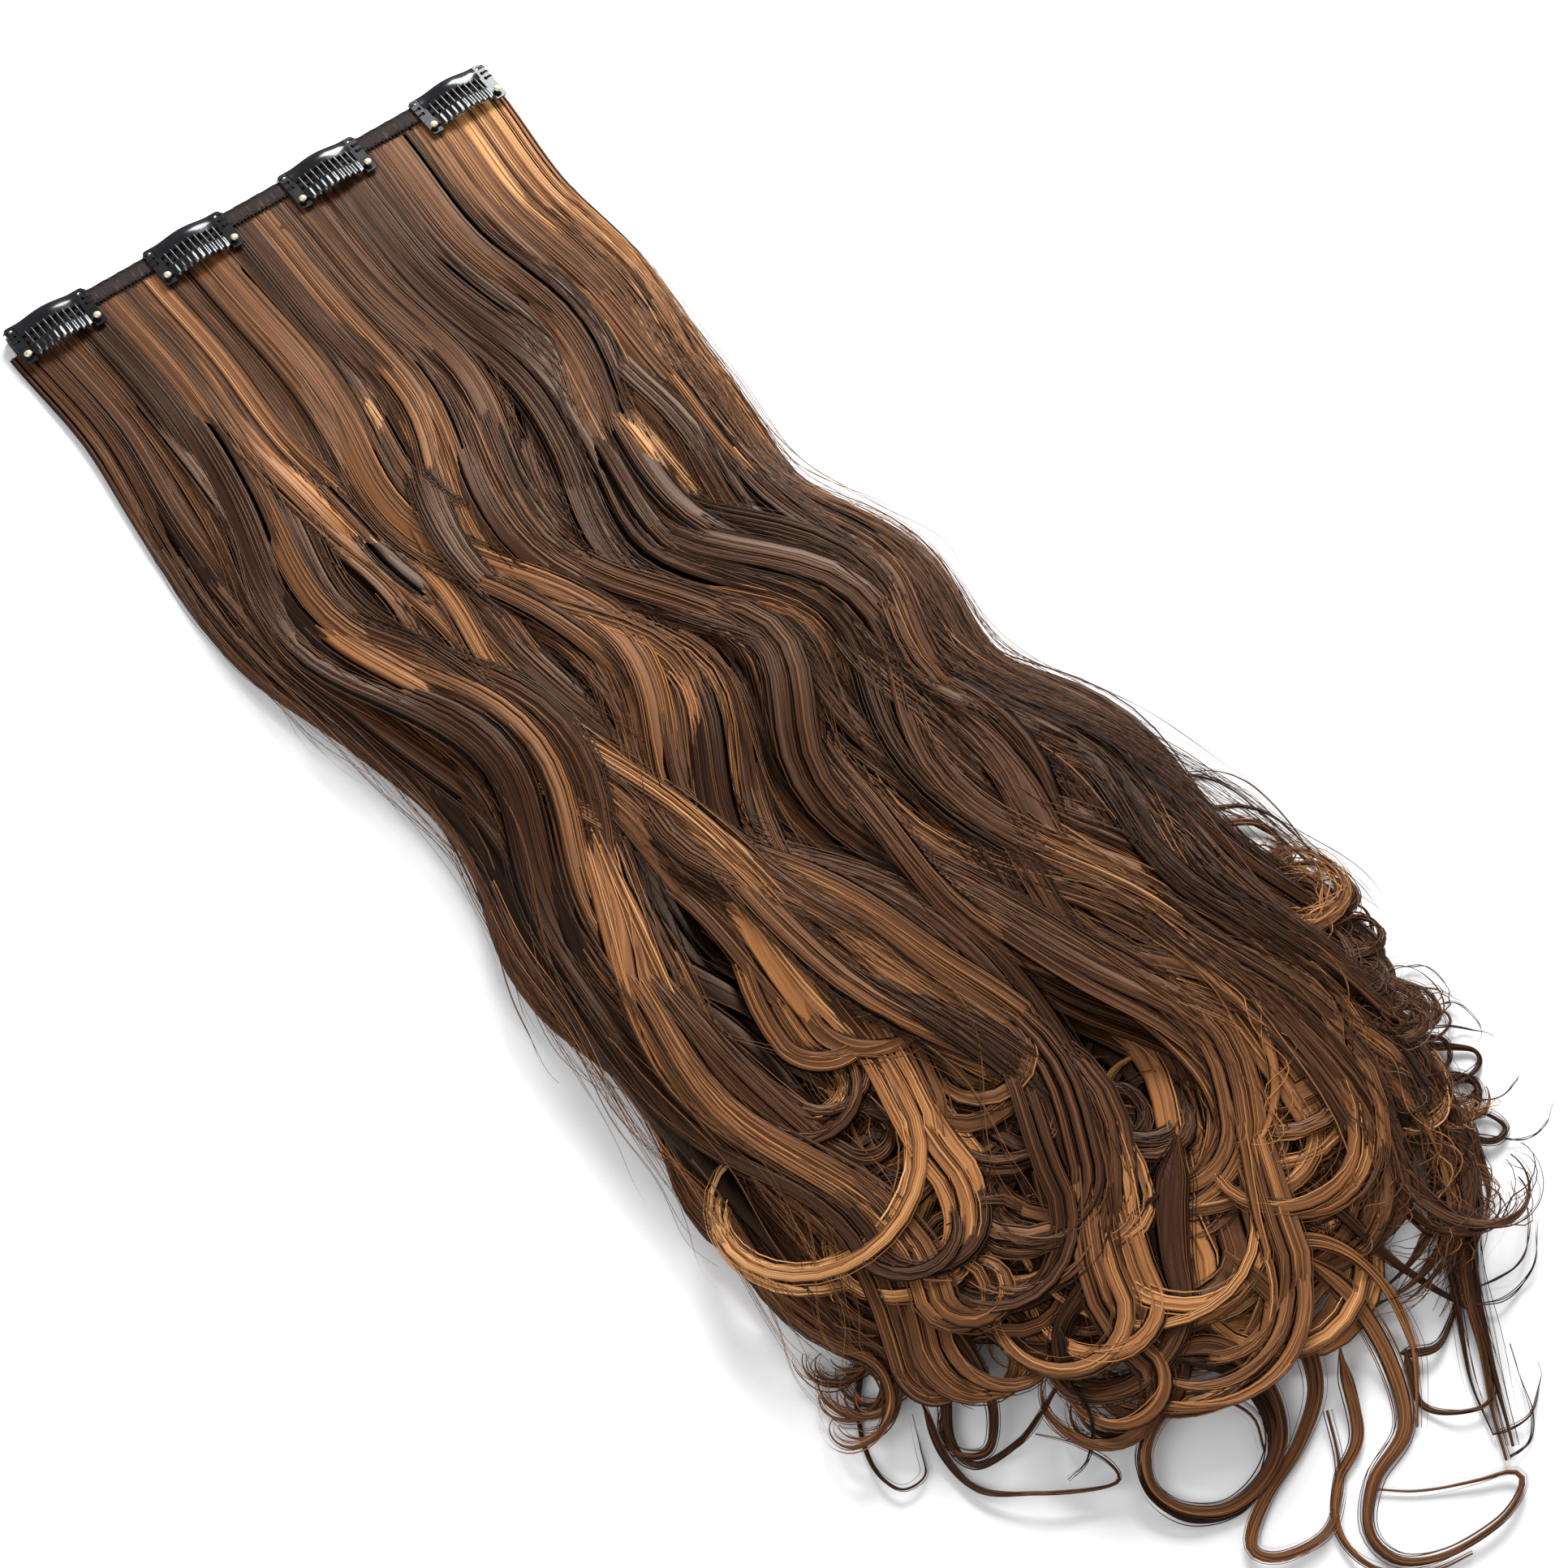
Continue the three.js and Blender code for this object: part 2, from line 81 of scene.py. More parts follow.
# %% A socket that does arithmetic


class Wire:
    """One socket in a material's nodes, with the arithmetic of a number."""

    def __init__(self, material, socket=None):
        self.material = material
        self.socket = socket

    def node(self, kind, settings=None, inputs=None, output=0):
        """Adds a node: first its settings, then the values or wires of its sockets."""
        tree = self.material.node_tree
        made = tree.nodes.new(kind)
        for name, value in (settings or {}).items():
            if name == "stops":
                set_stops(made.color_ramp, value)
            else:
                setattr(made, name, value)
        for key, value in (inputs or {}).items():
            if isinstance(value, Wire):
                tree.links.new(value.socket, made.inputs[key])
            else:
                made.inputs[key].default_value = value
        return Wire(self.material, made.outputs[output])

    def math(self, operation, first, second=0.0):
        return self.node("ShaderNodeMath", {"operation": operation}, {0: first, 1: second})

    def __add__(self, other):
        return self.math("ADD", self, other)

    def __sub__(self, other):
        return self.math("SUBTRACT", self, other)

    def __rsub__(self, other):
        return self.math("SUBTRACT", other, self)

    def __mul__(self, other):
        return self.math("MULTIPLY", self, other)

    __radd__ = __add__
    __rmul__ = __mul__


def set_stops(ramp, stops):
    """Gives a colour ramp its stops, each a place and a colour or a grey."""
    while len(ramp.elements) < len(stops):
        ramp.elements.new(0.5)
    for element, (place, colour) in zip(ramp.elements, stops):
        element.position = place
        element.color = (colour, colour, colour, 1) if isinstance(colour, (int, float)) else (*colour, 1)


def new_finish(name, **constants):
    """A material with its shader's plain values set, a wire to start from, and the shader."""
    material = bpy.data.materials.new(name)
    material.use_nodes = True
    shader = material.node_tree.nodes["Principled BSDF"]
    for socket, value in constants.items():
        shader.inputs[socket.replace("_", " ")].default_value = value
    return material, Wire(material), shader


def feed(shader, socket, wire):
    """Runs a wire into one of the shader's sockets."""
    wire.material.node_tree.links.new(wire.socket, shader.inputs[socket])


def ramp(wire, stops):
    """The colour that a ramp gives a number."""
    return wire.node("ShaderNodeValToRGB", {"stops": stops}, {0: wire})


def noise(place, scale, **inputs):
    """A soft random pattern over a place."""
    return place.node("ShaderNodeTexNoise", inputs={"Vector": place, "Scale": scale, **inputs})


def relief(shader, height, strength, distance):
    """Runs a height into the shader's normal as a shallow relief, its depth in metres."""
    sockets = {"Strength": strength, "Distance": distance, "Height": height}
    feed(shader, "Normal", height.node("ShaderNodeBump", inputs=sockets))


def shade(red, green, blue):
    """A colour as a screen shows it, from 0 to 255, in the linear values that Blender uses."""
    values = [channel / 255 for channel in (red, green, blue)]
    return tuple(v / 12.92 if v <= 0.04045 else ((v + 0.055) / 1.055) ** 2.4 for v in values)


print("middle grey on a screen is", round(shade(128, 128, 128)[0], 3), "in linear light")

# %% [markdown]
# Hair is the hard part. Dyed hair has no flat colour: each strand is lighter or darker than the next
# and changes along its length. Every strand's mesh therefore carries a number called tone, which also
# holds painted shade toward the flanks of each wisp and in the hair's depths, and a ramp turns it into
# a colour between near black brown and caramel. Fine lines that run along the strand break up its
# gloss, as single hairs do. Its shine is weak and warm, because light comes back out of brown hair brown.

# %% Hair finish
HAIR_TONES = [
    (0.00, shade(13, 6, 4)),
    (0.22, shade(36, 19, 12)),
    (0.42, shade(71, 43, 28)),
    (0.60, shade(112, 73, 46)),
    (0.78, shade(170, 113, 67)),
    (1.00, shade(218, 166, 110)),
]
LINES_ACROSS, LINES_ALONG = 1.2, 10
LINE_CONTRAST = 0.62
SEED_ACROSS, SEED_UP = 61, 17


def hair_finish():
    """Streaked brown hair, its fine lines along each strand."""
    warm = (*shade(255, 212, 176), 1)
    material, start, shader = new_finish("hair", Roughness=0.4, IOR=1.55, Specular_IOR_Level=0.22,
                                         Specular_Tint=warm)
    place = start.node("ShaderNodeUVMap", {"uv_map": "strand"})
    across = start.node("ShaderNodeSeparateXYZ", inputs={0: place})
    along = start.node("ShaderNodeSeparateXYZ", inputs={0: place}, output=1)
    tone = start.node("ShaderNodeAttribute", {"attribute_name": "tone"}, output=2)
    seed = start.node("ShaderNodeAttribute", {"attribute_name": "seed"}, output=2)
    own = {0: across * LINES_ACROSS + seed * SEED_ACROSS, 1: along * LINES_ALONG, 2: seed * SEED_UP}
    lines = noise(start.node("ShaderNodeCombineXYZ", inputs=own), 1.0, Detail=4.0, Roughness=0.62)
    feed(shader, "Base Color", ramp(tone + (lines - 0.5) * LINE_CONTRAST, HAIR_TONES))
    feed(shader, "Roughness", 0.28 + lines * 0.22)
    relief(shader, lines, 0.5, 0.0004)
    return material


hair_material = hair_finish()
print("hair finish with", len(HAIR_TONES), "tones")

# %% [markdown]
# The waves repeat the part's own formulas, so the hair lies where its solids do. An outline table
# gives the lying hair's edges and depth from the seam to the tips. A lock table gives each lock its
# lane, its layer, its wave and the curl at its end, and four tones from its root to its tip. Lengths
# are shares of the three sizes below.

# %% Sizes and tables of the hair
WEFT_WIDTH = 200 * MM
HAIR_LENGTH = 606 * MM
HAIR_DEPTH = 24 * MM
HAIR_TOP = -4.3 * MM
WAVES = 3.45
WAVES_GROW = (0.05, 0.35)
LOCK_TAPER = 0.45
TAPER_FROM = 0.55
CURL_OPEN = 1.2
CURL_CLOSE = 0.5

OUTLINE = {
    "along": [0.0, 0.083, 0.167, 0.25, 0.333, 0.417, 0.5, 0.583, 0.667, 0.75, 0.833, 0.917, 1.0],
    "left": [-0.5, -0.49, -0.52, -0.53, -0.485, -0.455, -0.49, -0.49, -0.48, -0.47, -0.45, -0.25, -0.06],
    "right": [0.48, 0.455, 0.475, 0.435, 0.415, 0.495, 0.46, 0.535, 0.585, 0.605, 0.565, 0.36, 0.22],
    "depth": [0.14, 0.24, 0.38, 0.52, 0.66, 0.78, 0.88, 0.96, 1.0, 1.0, 0.92, 0.76, 0.55],
}

TONE_AT = [0.0, 0.3, 0.6, 0.85]
LOCK_COLUMNS = ("name", "seam", "tip", "width", "thick", "layer", "reach", "phase", "swing", "curl", "radius",
                "tones")
LOCK_ROWS = [
    # The under locks' low tones are partly their own darker colour and partly painted shade for their depth under
    # the upper locks.
    ("under_left", 0.10, 0.10, 0.24, 0.60, 0.10, 0.75, 0.89, 0.020, 230, 0.080, (0.30, 0.25, 0.25, 0.35)),
    ("under_left_middle", 0.32, 0.17, 0.26, 0.60, 0.10, 0.79, 0.98, 0.030, 300, 0.080, (0.30, 0.20, 0.25, 0.40)),
    ("under_middle", 0.52, 0.42, 0.26, 0.60, 0.12, 0.84, 0.07, 0.035, -320, 0.080, (0.30, 0.20, 0.22, 0.56)),
    ("under_right_middle", 0.72, 0.66, 0.26, 0.60, 0.10, 0.86, 0.85, 0.035, -300, 0.120, (0.30, 0.20, 0.27, 0.56)),
    ("under_right", 0.92, 0.92, 0.24, 0.60, 0.10, 0.82, 0.80, 0.030, -240, 0.080, (0.45, 0.25, 0.25, 0.35)),
    ("left_edge", 0.00, 0.00, 0.13, 0.50, 0.45, 0.785, 0.00, 0.000, 230, 0.050, (0.46, 0.44, 0.46, 0.50)),
    ("left_face", 0.12, 0.06, 0.17, 0.50, 0.95, 0.785, 0.86, 0.030, 320, 0.070, (0.42, 0.46, 0.50, 0.52)),
    ("left_turn", 0.22, 0.31, 0.16, 0.55, 0.80, 0.735, 0.40, 0.045, -250, 0.110, (0.42, 0.44, 0.50, 0.74)),
    ("centre_left", 0.36, 0.47, 0.15, 0.50, 0.95, 0.81, 0.067, 0.055, -330, 0.100, (0.44, 0.50, 0.44, 0.38)),
    ("centre", 0.50, 0.42, 0.14, 0.50, 0.90, 0.85, 0.82, 0.045, -330, 0.090, (0.48, 0.54, 0.44, 0.50)),
    ("centre_right", 0.58, 0.66, 0.14, 0.50, 0.95, 0.87, 0.80, 0.045, -200, 0.170, (0.42, 0.42, 0.40, 0.64)),
    ("right_inner", 0.72, 0.80, 0.17, 0.55, 0.85, 0.88, 0.55, 0.045, -300, 0.110, (0.34, 0.30, 0.40, 0.72)),
    ("right_face", 0.84, 0.80, 0.18, 0.55, 0.95, 0.85, 0.70, 0.035, -120, 0.130, (0.52, 0.32, 0.42, 0.48)),
    ("right_edge", 1.00, 1.00, 0.18, 0.60, 0.60, 0.74, 0.00, 0.000, -250, 0.075, (0.88, 0.60, 0.36, 0.42)),
    ("right_curl", 0.95, 0.92, 0.14, 0.50, 0.80, 0.83, 0.30, 0.030, 240, 0.055, (0.80, 0.46, 0.36, 0.42)),
    ("right_tail", 0.88, 0.90, 0.12, 0.45, 0.40, 0.87, 0.20, 0.030, -60, 0.250, (0.62, 0.34, 0.36, 0.50)),
]
LOCKS = [dict(zip(LOCK_COLUMNS, row)) for row in LOCK_ROWS]
print(len(LOCKS), "locks")

# %% [markdown]
# A smooth curve through the outline's rows is a cubic with the slope at each row taken from its two
# neighbours. All of the maths runs on whole arrays, because there will be thousands of strands.

# %% Where a lock runs


def smooth(low, high, value):
    """0 below low, 1 above high, and an easy slope between."""
    t = np.clip((value - low) / (high - low), 0, 1)
    return t * t * (3 - 2 * t)


def outline_at(column, share):
    """An edge of the lying hair, or its depth, at shares of its length."""
    along, values = np.array(OUTLINE["along"]), np.array(OUTLINE[column])
    index = np.clip(np.searchsorted(along, share, side="right") - 1, 0, len(along) - 2)
    t = np.minimum((share - along[index]) / (along[index + 1] - along[index]), 1)
    before = values[np.maximum(index - 1, 0)]
    after = values[np.minimum(index + 2, len(along) - 1)]
    here, following = values[index], values[index + 1]
    leave, arrive = (following - before) / 2, (after - here) / 2
    return ((2 * t**3 - 3 * t**2 + 1) * here + (t**3 - 2 * t**2 + t) * leave
            + (3 * t**2 - 2 * t**3) * following + (t**3 - t**2) * arrive)


def lock_run(lock, share):
    """A lock's centres, widths and thicknesses at shares of the hair's length."""
    progress = share / lock["reach"]
    width = lock["width"] * WEFT_WIDTH * (1 - LOCK_TAPER * smooth(TAPER_FROM, 1, progress))
    left = outline_at("left", share) * WEFT_WIDTH + width / 2
    right = outline_at("right", share) * WEFT_WIDTH - width / 2
    lane = lock["seam"] + (lock["tip"] - lock["seam"]) * smooth(0, 1, progress)
    wave = np.sin(2 * math.pi * (lock["phase"] + WAVES * share))
    depth = outline_at("depth", share) * HAIR_DEPTH
    thickness = lock["thick"] * depth
    x = left + (right - left) * lane + lock["swing"] * WEFT_WIDTH * smooth(*WAVES_GROW, share) * wave
    z = (depth - thickness) * lock["layer"] + thickness / 2
    return np.stack([x, HAIR_TOP - share * HAIR_LENGTH, z], 1), width, thickness


def unit(vectors):
    """Each vector at a length of one."""
    return vectors / np.maximum(np.linalg.norm(vectors, axis=-1, keepdims=True), 1e-12)


def across_of(centres):
    """The level direction across a line of points, to the right of its travel."""
    travel = np.gradient(centres, axis=0)
    return unit(np.stack([-travel[:, 1], travel[:, 0], np.zeros(len(travel))], 1)) * -1


halfway = np.array([0.5])
breadth_there = (outline_at("right", halfway) - outline_at("left", halfway))[0] * WEFT_WIDTH
print("halfway down, the hair lies", round(breadth_there / MM), "mm wide")

# %% [markdown]
# A lock is not one bundle. It parts into tresses that share its wave and then cross each other, dive
# under and surface again, and toward the side edges they drop to the table. Near its end a tress
# splits once more into wisps. They turn side by side in rings of nearly one size, which tighten,
# thin out and sink, as the end of a real curl does. Some locks are frizzy, and theirs fray more.

# %% Tresses inside a lock
RUN_POINTS = 56
CURL_POINTS = 24
LOWEST = 1.0 * MM
CRIMPS = 4.9
CURL_BREADTH = 1.2
CURL_THINS = 0.9
EDGE_DROP = 0.72
EARLY_TRESSES = 0.45
LOCKS_WAY = 0.84
SPLIT_FROM = 0.66
WISP_SPACE = 1.2 * MM
FRIZZ, CALM = 2.1, 0.6
FRIZZY = ("right_face", "right_edge", "right_curl", "right_tail")
HEAVE = 2.6 * MM


def turns(rng, pace, progress):
    """A smooth wave between -1 and 1 that starts anywhere and makes this many turns."""
    return np.sin(2 * math.pi * (rng.random() + pace * progress))


def tress_run(lock, side, height, rng):
    """A tress before its curl: its centres, sizes and shares, and the way that it will turn."""
    early = rng.random() < EARLY_TRESSES
    reach = lock["reach"] + (rng.uniform(-0.14, -0.06) if early else rng.uniform(-0.06, 0.0))
    share = np.linspace(0, 1, RUN_POINTS) * reach
    progress = share / reach
    centres, width, thickness = lock_run(lock, share)
    across = across_of(centres)
    finish = np.clip(side * 0.5 + rng.normal(0, 0.5), -1.0, 1.0)
    lane = side + (finish - side) * smooth(0.12, 0.75, progress)
    gather = 1 - 0.3 * smooth(0.4, 1, progress)
    sway = (rng.uniform(1.5, 4.0) * MM * smooth(0.1, 0.4, share)
            * turns(rng, rng.uniform(0.75, 1.3) * WAVES, share))
    phase = 3.7 * lock["phase"] + rng.normal(0, 0.09)
    crimp = (rng.uniform(3.0, 8.0) * MM * smooth(0.3, 0.7, share)
             * np.sin(2 * math.pi * (phase + CRIMPS * share)))
    centres = centres + across * (lane * width / 2 * gather + sway + crimp)[:, None]
    weave = 0.22 * smooth(0.08, 0.35, progress) * turns(rng, rng.uniform(1.5, 3.0), progress)
    heave = HEAVE * smooth(0.08, 0.3, share) * np.sin(2 * math.pi * (phase * 1.7 + CRIMPS * share))
    centres[:, 2] += (height + weave) * thickness / 2 * gather + heave
    left, right = (outline_at(edge, share) * WEFT_WIDTH for edge in ("left", "right"))
    off_middle = np.abs(2 * (centres[:, 0] - left) / (right - left) - 1)
    centres[:, 2] *= 1 - EDGE_DROP * smooth(0.74, 1.0, off_middle) * smooth(0.05, 0.2, share)
    half = rng.uniform(0.28, 0.58) * width / 2
    roll = (rng.uniform(0.12, 0.36) * smooth(0.06, 0.25, progress)
            * turns(rng, rng.uniform(1.2, 3.0), progress))
    deep = np.clip(thickness * 0.14, 0.28 * MM, 1.7 * MM)
    way = 1 if rng.random() < LOCKS_WAY else -1
    turn = way * math.radians(lock["curl"] * rng.uniform(0.75, 1.5)) / CURL_POINTS
    radius = lock["radius"] * WEFT_WIDTH * rng.uniform(0.55, 1.15)
    return {"line": centres, "share": share, "progress": progress, "half": half, "deep": deep,
            "reach": reach, "roll": roll, "turn": turn, "radius": radius, "swerve": rng.random()}


def wisp_line(lock, run, part, rng):
    """One wisp of a tress: its run, leaned to one side near its end, and a curl close to its own."""
    centres = run["line"].copy()
    apart = smooth(SPLIT_FROM, 1, run["progress"])
    centres += across_of(centres) * (part * (run["half"] * 0.9 + WISP_SPACE) * apart)[:, None]
    centres[:, 2] += abs(part) * rng.uniform(-2, 2) * MM * apart
    steps = np.arange(1, CURL_POINTS + 1) / CURL_POINTS
    turn = run["turn"] * rng.uniform(0.88, 1.12)
    bend = turn * (1 + 0.3 * np.sin(2 * math.pi * (run["swerve"] + rng.uniform(0.5, 0.9) * steps)))
    radius = run["radius"] * rng.uniform(0.85, 1.12) * (CURL_OPEN - CURL_CLOSE * steps)
    travel = centres[-1] - centres[-3]
    heading = math.atan2(travel[1], travel[0]) + np.cumsum(bend)
    pace = abs(turn) * radius
    lift = rng.uniform(-0.3, 0.4) * radius * np.sin(np.cumsum(bend))
    curl = np.stack([centres[-1, 0] + np.cumsum(pace * np.cos(heading)),
                     centres[-1, 1] + np.cumsum(pace * np.sin(heading)),
                     centres[-1, 2] * (1 - 0.6 * steps) + lift], 1)
    line = np.concatenate([centres, curl])
    line[:, 2] = np.maximum(line[:, 2], LOWEST)
    narrow = 1 - 0.5 * apart
    widest = lock["radius"] * WEFT_WIDTH * (0.12 + CURL_BREADTH * lock["radius"])
    curl_half = min(run["half"][-1] * 0.8, widest)
    half = run["half"] * narrow
    half = np.concatenate([half + (curl_half - half) * smooth(0.75, 1, run["progress"]),
                           curl_half * (1 - CURL_THINS * smooth(0.1, 1, steps))])
    deep = np.concatenate([run["deep"] * narrow, run["deep"][-1] * 0.5 * (1 - 0.5 * steps)])
    roll = np.concatenate([run["roll"], run["roll"][-1] * (1 - steps)])
    frizz = FRIZZ if lock["name"] in FRIZZY else CALM
    return {"line": line, "half": half, "deep": deep, "roll": roll,
            "loose": (1.4 + 0.6 * frizz) * MM, "frizz": frizz * MM,
            "share": np.concatenate([run["share"], run["reach"] + np.cumsum(pace) / HAIR_LENGTH]),
            "curled": np.concatenate([np.zeros(RUN_POINTS), steps]),
            "progress": np.concatenate([run["progress"], 1 + steps])}


print("each wisp has", RUN_POINTS, "points before its curl and", CURL_POINTS, "in it")

# %% [markdown]
# Up close a wisp is a smooth body of hairs that cling together, with single strands over it. The
# body is a flat tube, and its fine lines come from the finish. A strand is a ribbon about half a
# millimetre wide whose two edges lean their normals outward, so that it shines like a thin cylinder
# and costs two triangles a step. Two gentle limits keep both true to the solids: under the clips
# they stay low enough for the combs to open, and no curl runs far past the hair's own box.

# %% Bodies and strands of a wisp
LEAN_ANGLE = math.radians(40)
LEAN = math.tan(LEAN_ANGLE)
NEAR_CLIPS = 14 * MM
ROOT_TOP = 3.6 * MM
ROOF_SLOPE, ROOF_TOP = 0.16, 25 * MM
RIGHT_ROOM, LEFT_ROOM = (108 * MM, 136 * MM), (-98 * MM, -120 * MM)
TIP_ROOM = (-585 * MM, -626 * MM)
BODY_SIDES = 5
FADE_POINTS = 12
LINE_SPACE = 1.7 * MM
UP = np.array([0.0, 0.0, 1.0])


def ease_to(value, start, limit):
    """Leaves values short of start alone and bends those past it so that they never pass limit."""
    room = limit - start
    past = (value - start) * np.sign(room) > 0
    return np.where(past, start + room * np.tanh((value - start) / room), value)


def held_in(spots):
    """Keeps points inside the hair's space."""
    spots[..., 0] = ease_to(ease_to(spots[..., 0], *RIGHT_ROOM), *LEFT_ROOM)
    spots[..., 1] = ease_to(spots[..., 1], *TIP_ROOM)
    away = np.maximum(HAIR_TOP - spots[..., 1] - NEAR_CLIPS, 0)
    roof = np.minimum(ROOT_TOP + ROOF_SLOPE * away, ROOF_TOP)
    spots[..., 2] = ease_to(spots[..., 2], roof * 0.8, roof * 1.12)
    spots[..., 2] = np.maximum(spots[..., 2], 0.3 * MM)
    return spots


def rolled(across, roll):
    """The two directions of a wisp's section when the wisp leans over by a slope."""
    beside = unit(across + UP * roll[:, None])
    return beside, unit(UP - across * roll[:, None])


def body_of(wisp, tones, rng, first=0):
    """The smooth body of a wisp from one of its points on, as one sheet that closes on itself."""
    line, half, deep = wisp["line"][first:], wisp["half"][first:] * 0.84, wisp["deep"][first:] * 0.8
    if first:
        half = half * (0.06 + 0.94 * smooth(0, FADE_POINTS, np.arange(len(half))))
    angle = np.linspace(1.5, -0.5, BODY_SIDES + 1) * math.pi
    flat, high = np.cos(angle), np.sin(angle)
    beside, above = rolled(across_of(line), wisp["roll"][first:])
    spots = (line[:, None] + beside[:, None] * (half[:, None] * flat)[..., None]
             + above[:, None] * (deep[:, None] * high)[..., None])
    normal = unit(beside[:, None] * (deep[:, None] * flat)[..., None]
                  + above[:, None] * (half[:, None] * high)[..., None])
    round_trip = np.linspace(0, 1, BODY_SIDES + 1) * 4 * half[:, None] / LINE_SPACE
    # Painted shade: the body is a little darker than the strands over it, and much darker toward its flanks.
    tone = tones[first:, None] - 0.04 - 0.2 * np.abs(flat) ** 3
    return {"spots": held_in(spots)[None], "normal": normal[None], "tone": tone[None],
            "seed": rng.random(1), "across": round_trip[None],
            "along": wisp["share"][None, first:] * HAIR_LENGTH}


def strands_of(wisp, count, breadth, rng, tones):
    """Ribbons that lie over a wisp's body, as one group of sheets of two columns each."""
    line, progress, curled = wisp["line"], wisp["progress"], wisp["curled"]
    across, above = rolled(across_of(line), wisp["roll"])
    p = rng.uniform(-1.1, 1.1, count)[:, None]
    rounded = np.clip(p + rng.normal(0, 0.26, count)[:, None] * smooth(0.1, 0.9, progress), -1.15, 1.15)
    fray = np.minimum(rng.exponential(1, count), 2.4)[:, None] * wisp["frizz"] * smooth(0.3, 0.9, progress)
    waved = rng.random(count)[:, None] + rng.uniform(0.9, 2.6, count)[:, None] * progress
    fray = fray * np.sin(2 * math.pi * waved)
    peel = rng.normal(0, 1, count)[:, None] * wisp["loose"] * smooth(0.1, 1, curled)
    dome = np.sqrt(1 - (rounded / 1.2) ** 2) * wisp["deep"] * rng.uniform(0.75, 1.2, count)[:, None]
    offset = rounded * wisp["half"] + fray + peel
    rise = dome + 0.6 * np.abs(fray) + 0.3 * peel
    spots = held_in(line + across * offset[..., None] + above * rise[..., None])
    spots[:, 0, 1] = np.minimum(spots[:, 0, 1], HAIR_TOP)
    travel = unit(np.gradient(spots, axis=1))
    lean = LEAN_ANGLE * rounded + np.radians(rng.normal(0, 11, count))[:, None]
    normal = np.cos(lean)[..., None] * above + np.sin(lean)[..., None] * across
    sideways = unit(np.cross(travel, normal))
    normal = unit(np.cross(sideways, travel))
    ends = rng.uniform(0.5, 1.0, count)[:, None]
    width = breadth * rng.uniform(0.65, 1.35, count)[:, None] * (1 - 0.4 * smooth(0, 1, curled))
    width = np.maximum(width * (1 - smooth(0, 0.25, curled - ends)), 0.03 * MM)
    half = sideways * (width / 2)[..., None]
    leaned = np.stack([normal - sideways * LEAN, normal + sideways * LEAN], 2)
    # Painted shade: a strand is darker the nearer it lies to its wisp's flank.
    tone = tones + rng.normal(0, 0.085, count)[:, None] - 0.22 * np.abs(rounded) ** 3
    return {"spots": np.stack([spots - half, spots + half], 2), "normal": unit(leaned),
            "tone": np.repeat(tone[..., None], 2, 2), "seed": rng.random(count),
            "across": np.broadcast_to([0.0, 1.0], (count, len(line), 2)),
            "along": np.repeat(wisp["share"][None] * HAIR_LENGTH, count, 0)}


print("a body has", BODY_SIDES, "sides, and its fine lines are", round(LINE_SPACE / MM, 1), "mm apart")

# %% [markdown]
# One mesh holds the bodies and strands of a whole region, each as a small grid of points. Beside the
# strand coordinates it gets a second UV map, in which every grid has a patch of its own, so that its
# colours can be baked without two strands sharing a place.

# %% Grids into one mesh
SHELVES = 4
BODY_PATCH = 8


def patches_for(groups):
    """A patch for each grid, side by side on shelves: its left edge, its shelf and its width."""
    widths = []
    for g in groups:
        widths += [1 if g["across"].shape[2] == 2 else BODY_PATCH] * len(g["seed"])
    shelf_width = sum(widths) / SHELVES + 2 * BODY_PATCH
    place, patches = 0.0, []
    for width in widths:
        if place % shelf_width + width > shelf_width:
            place += shelf_width - place % shelf_width
        shelf, along = divmod(place, shelf_width)
        patches.append((along / shelf_width, shelf / SHELVES, width / shelf_width))
        place += width
    return np.array(patches)


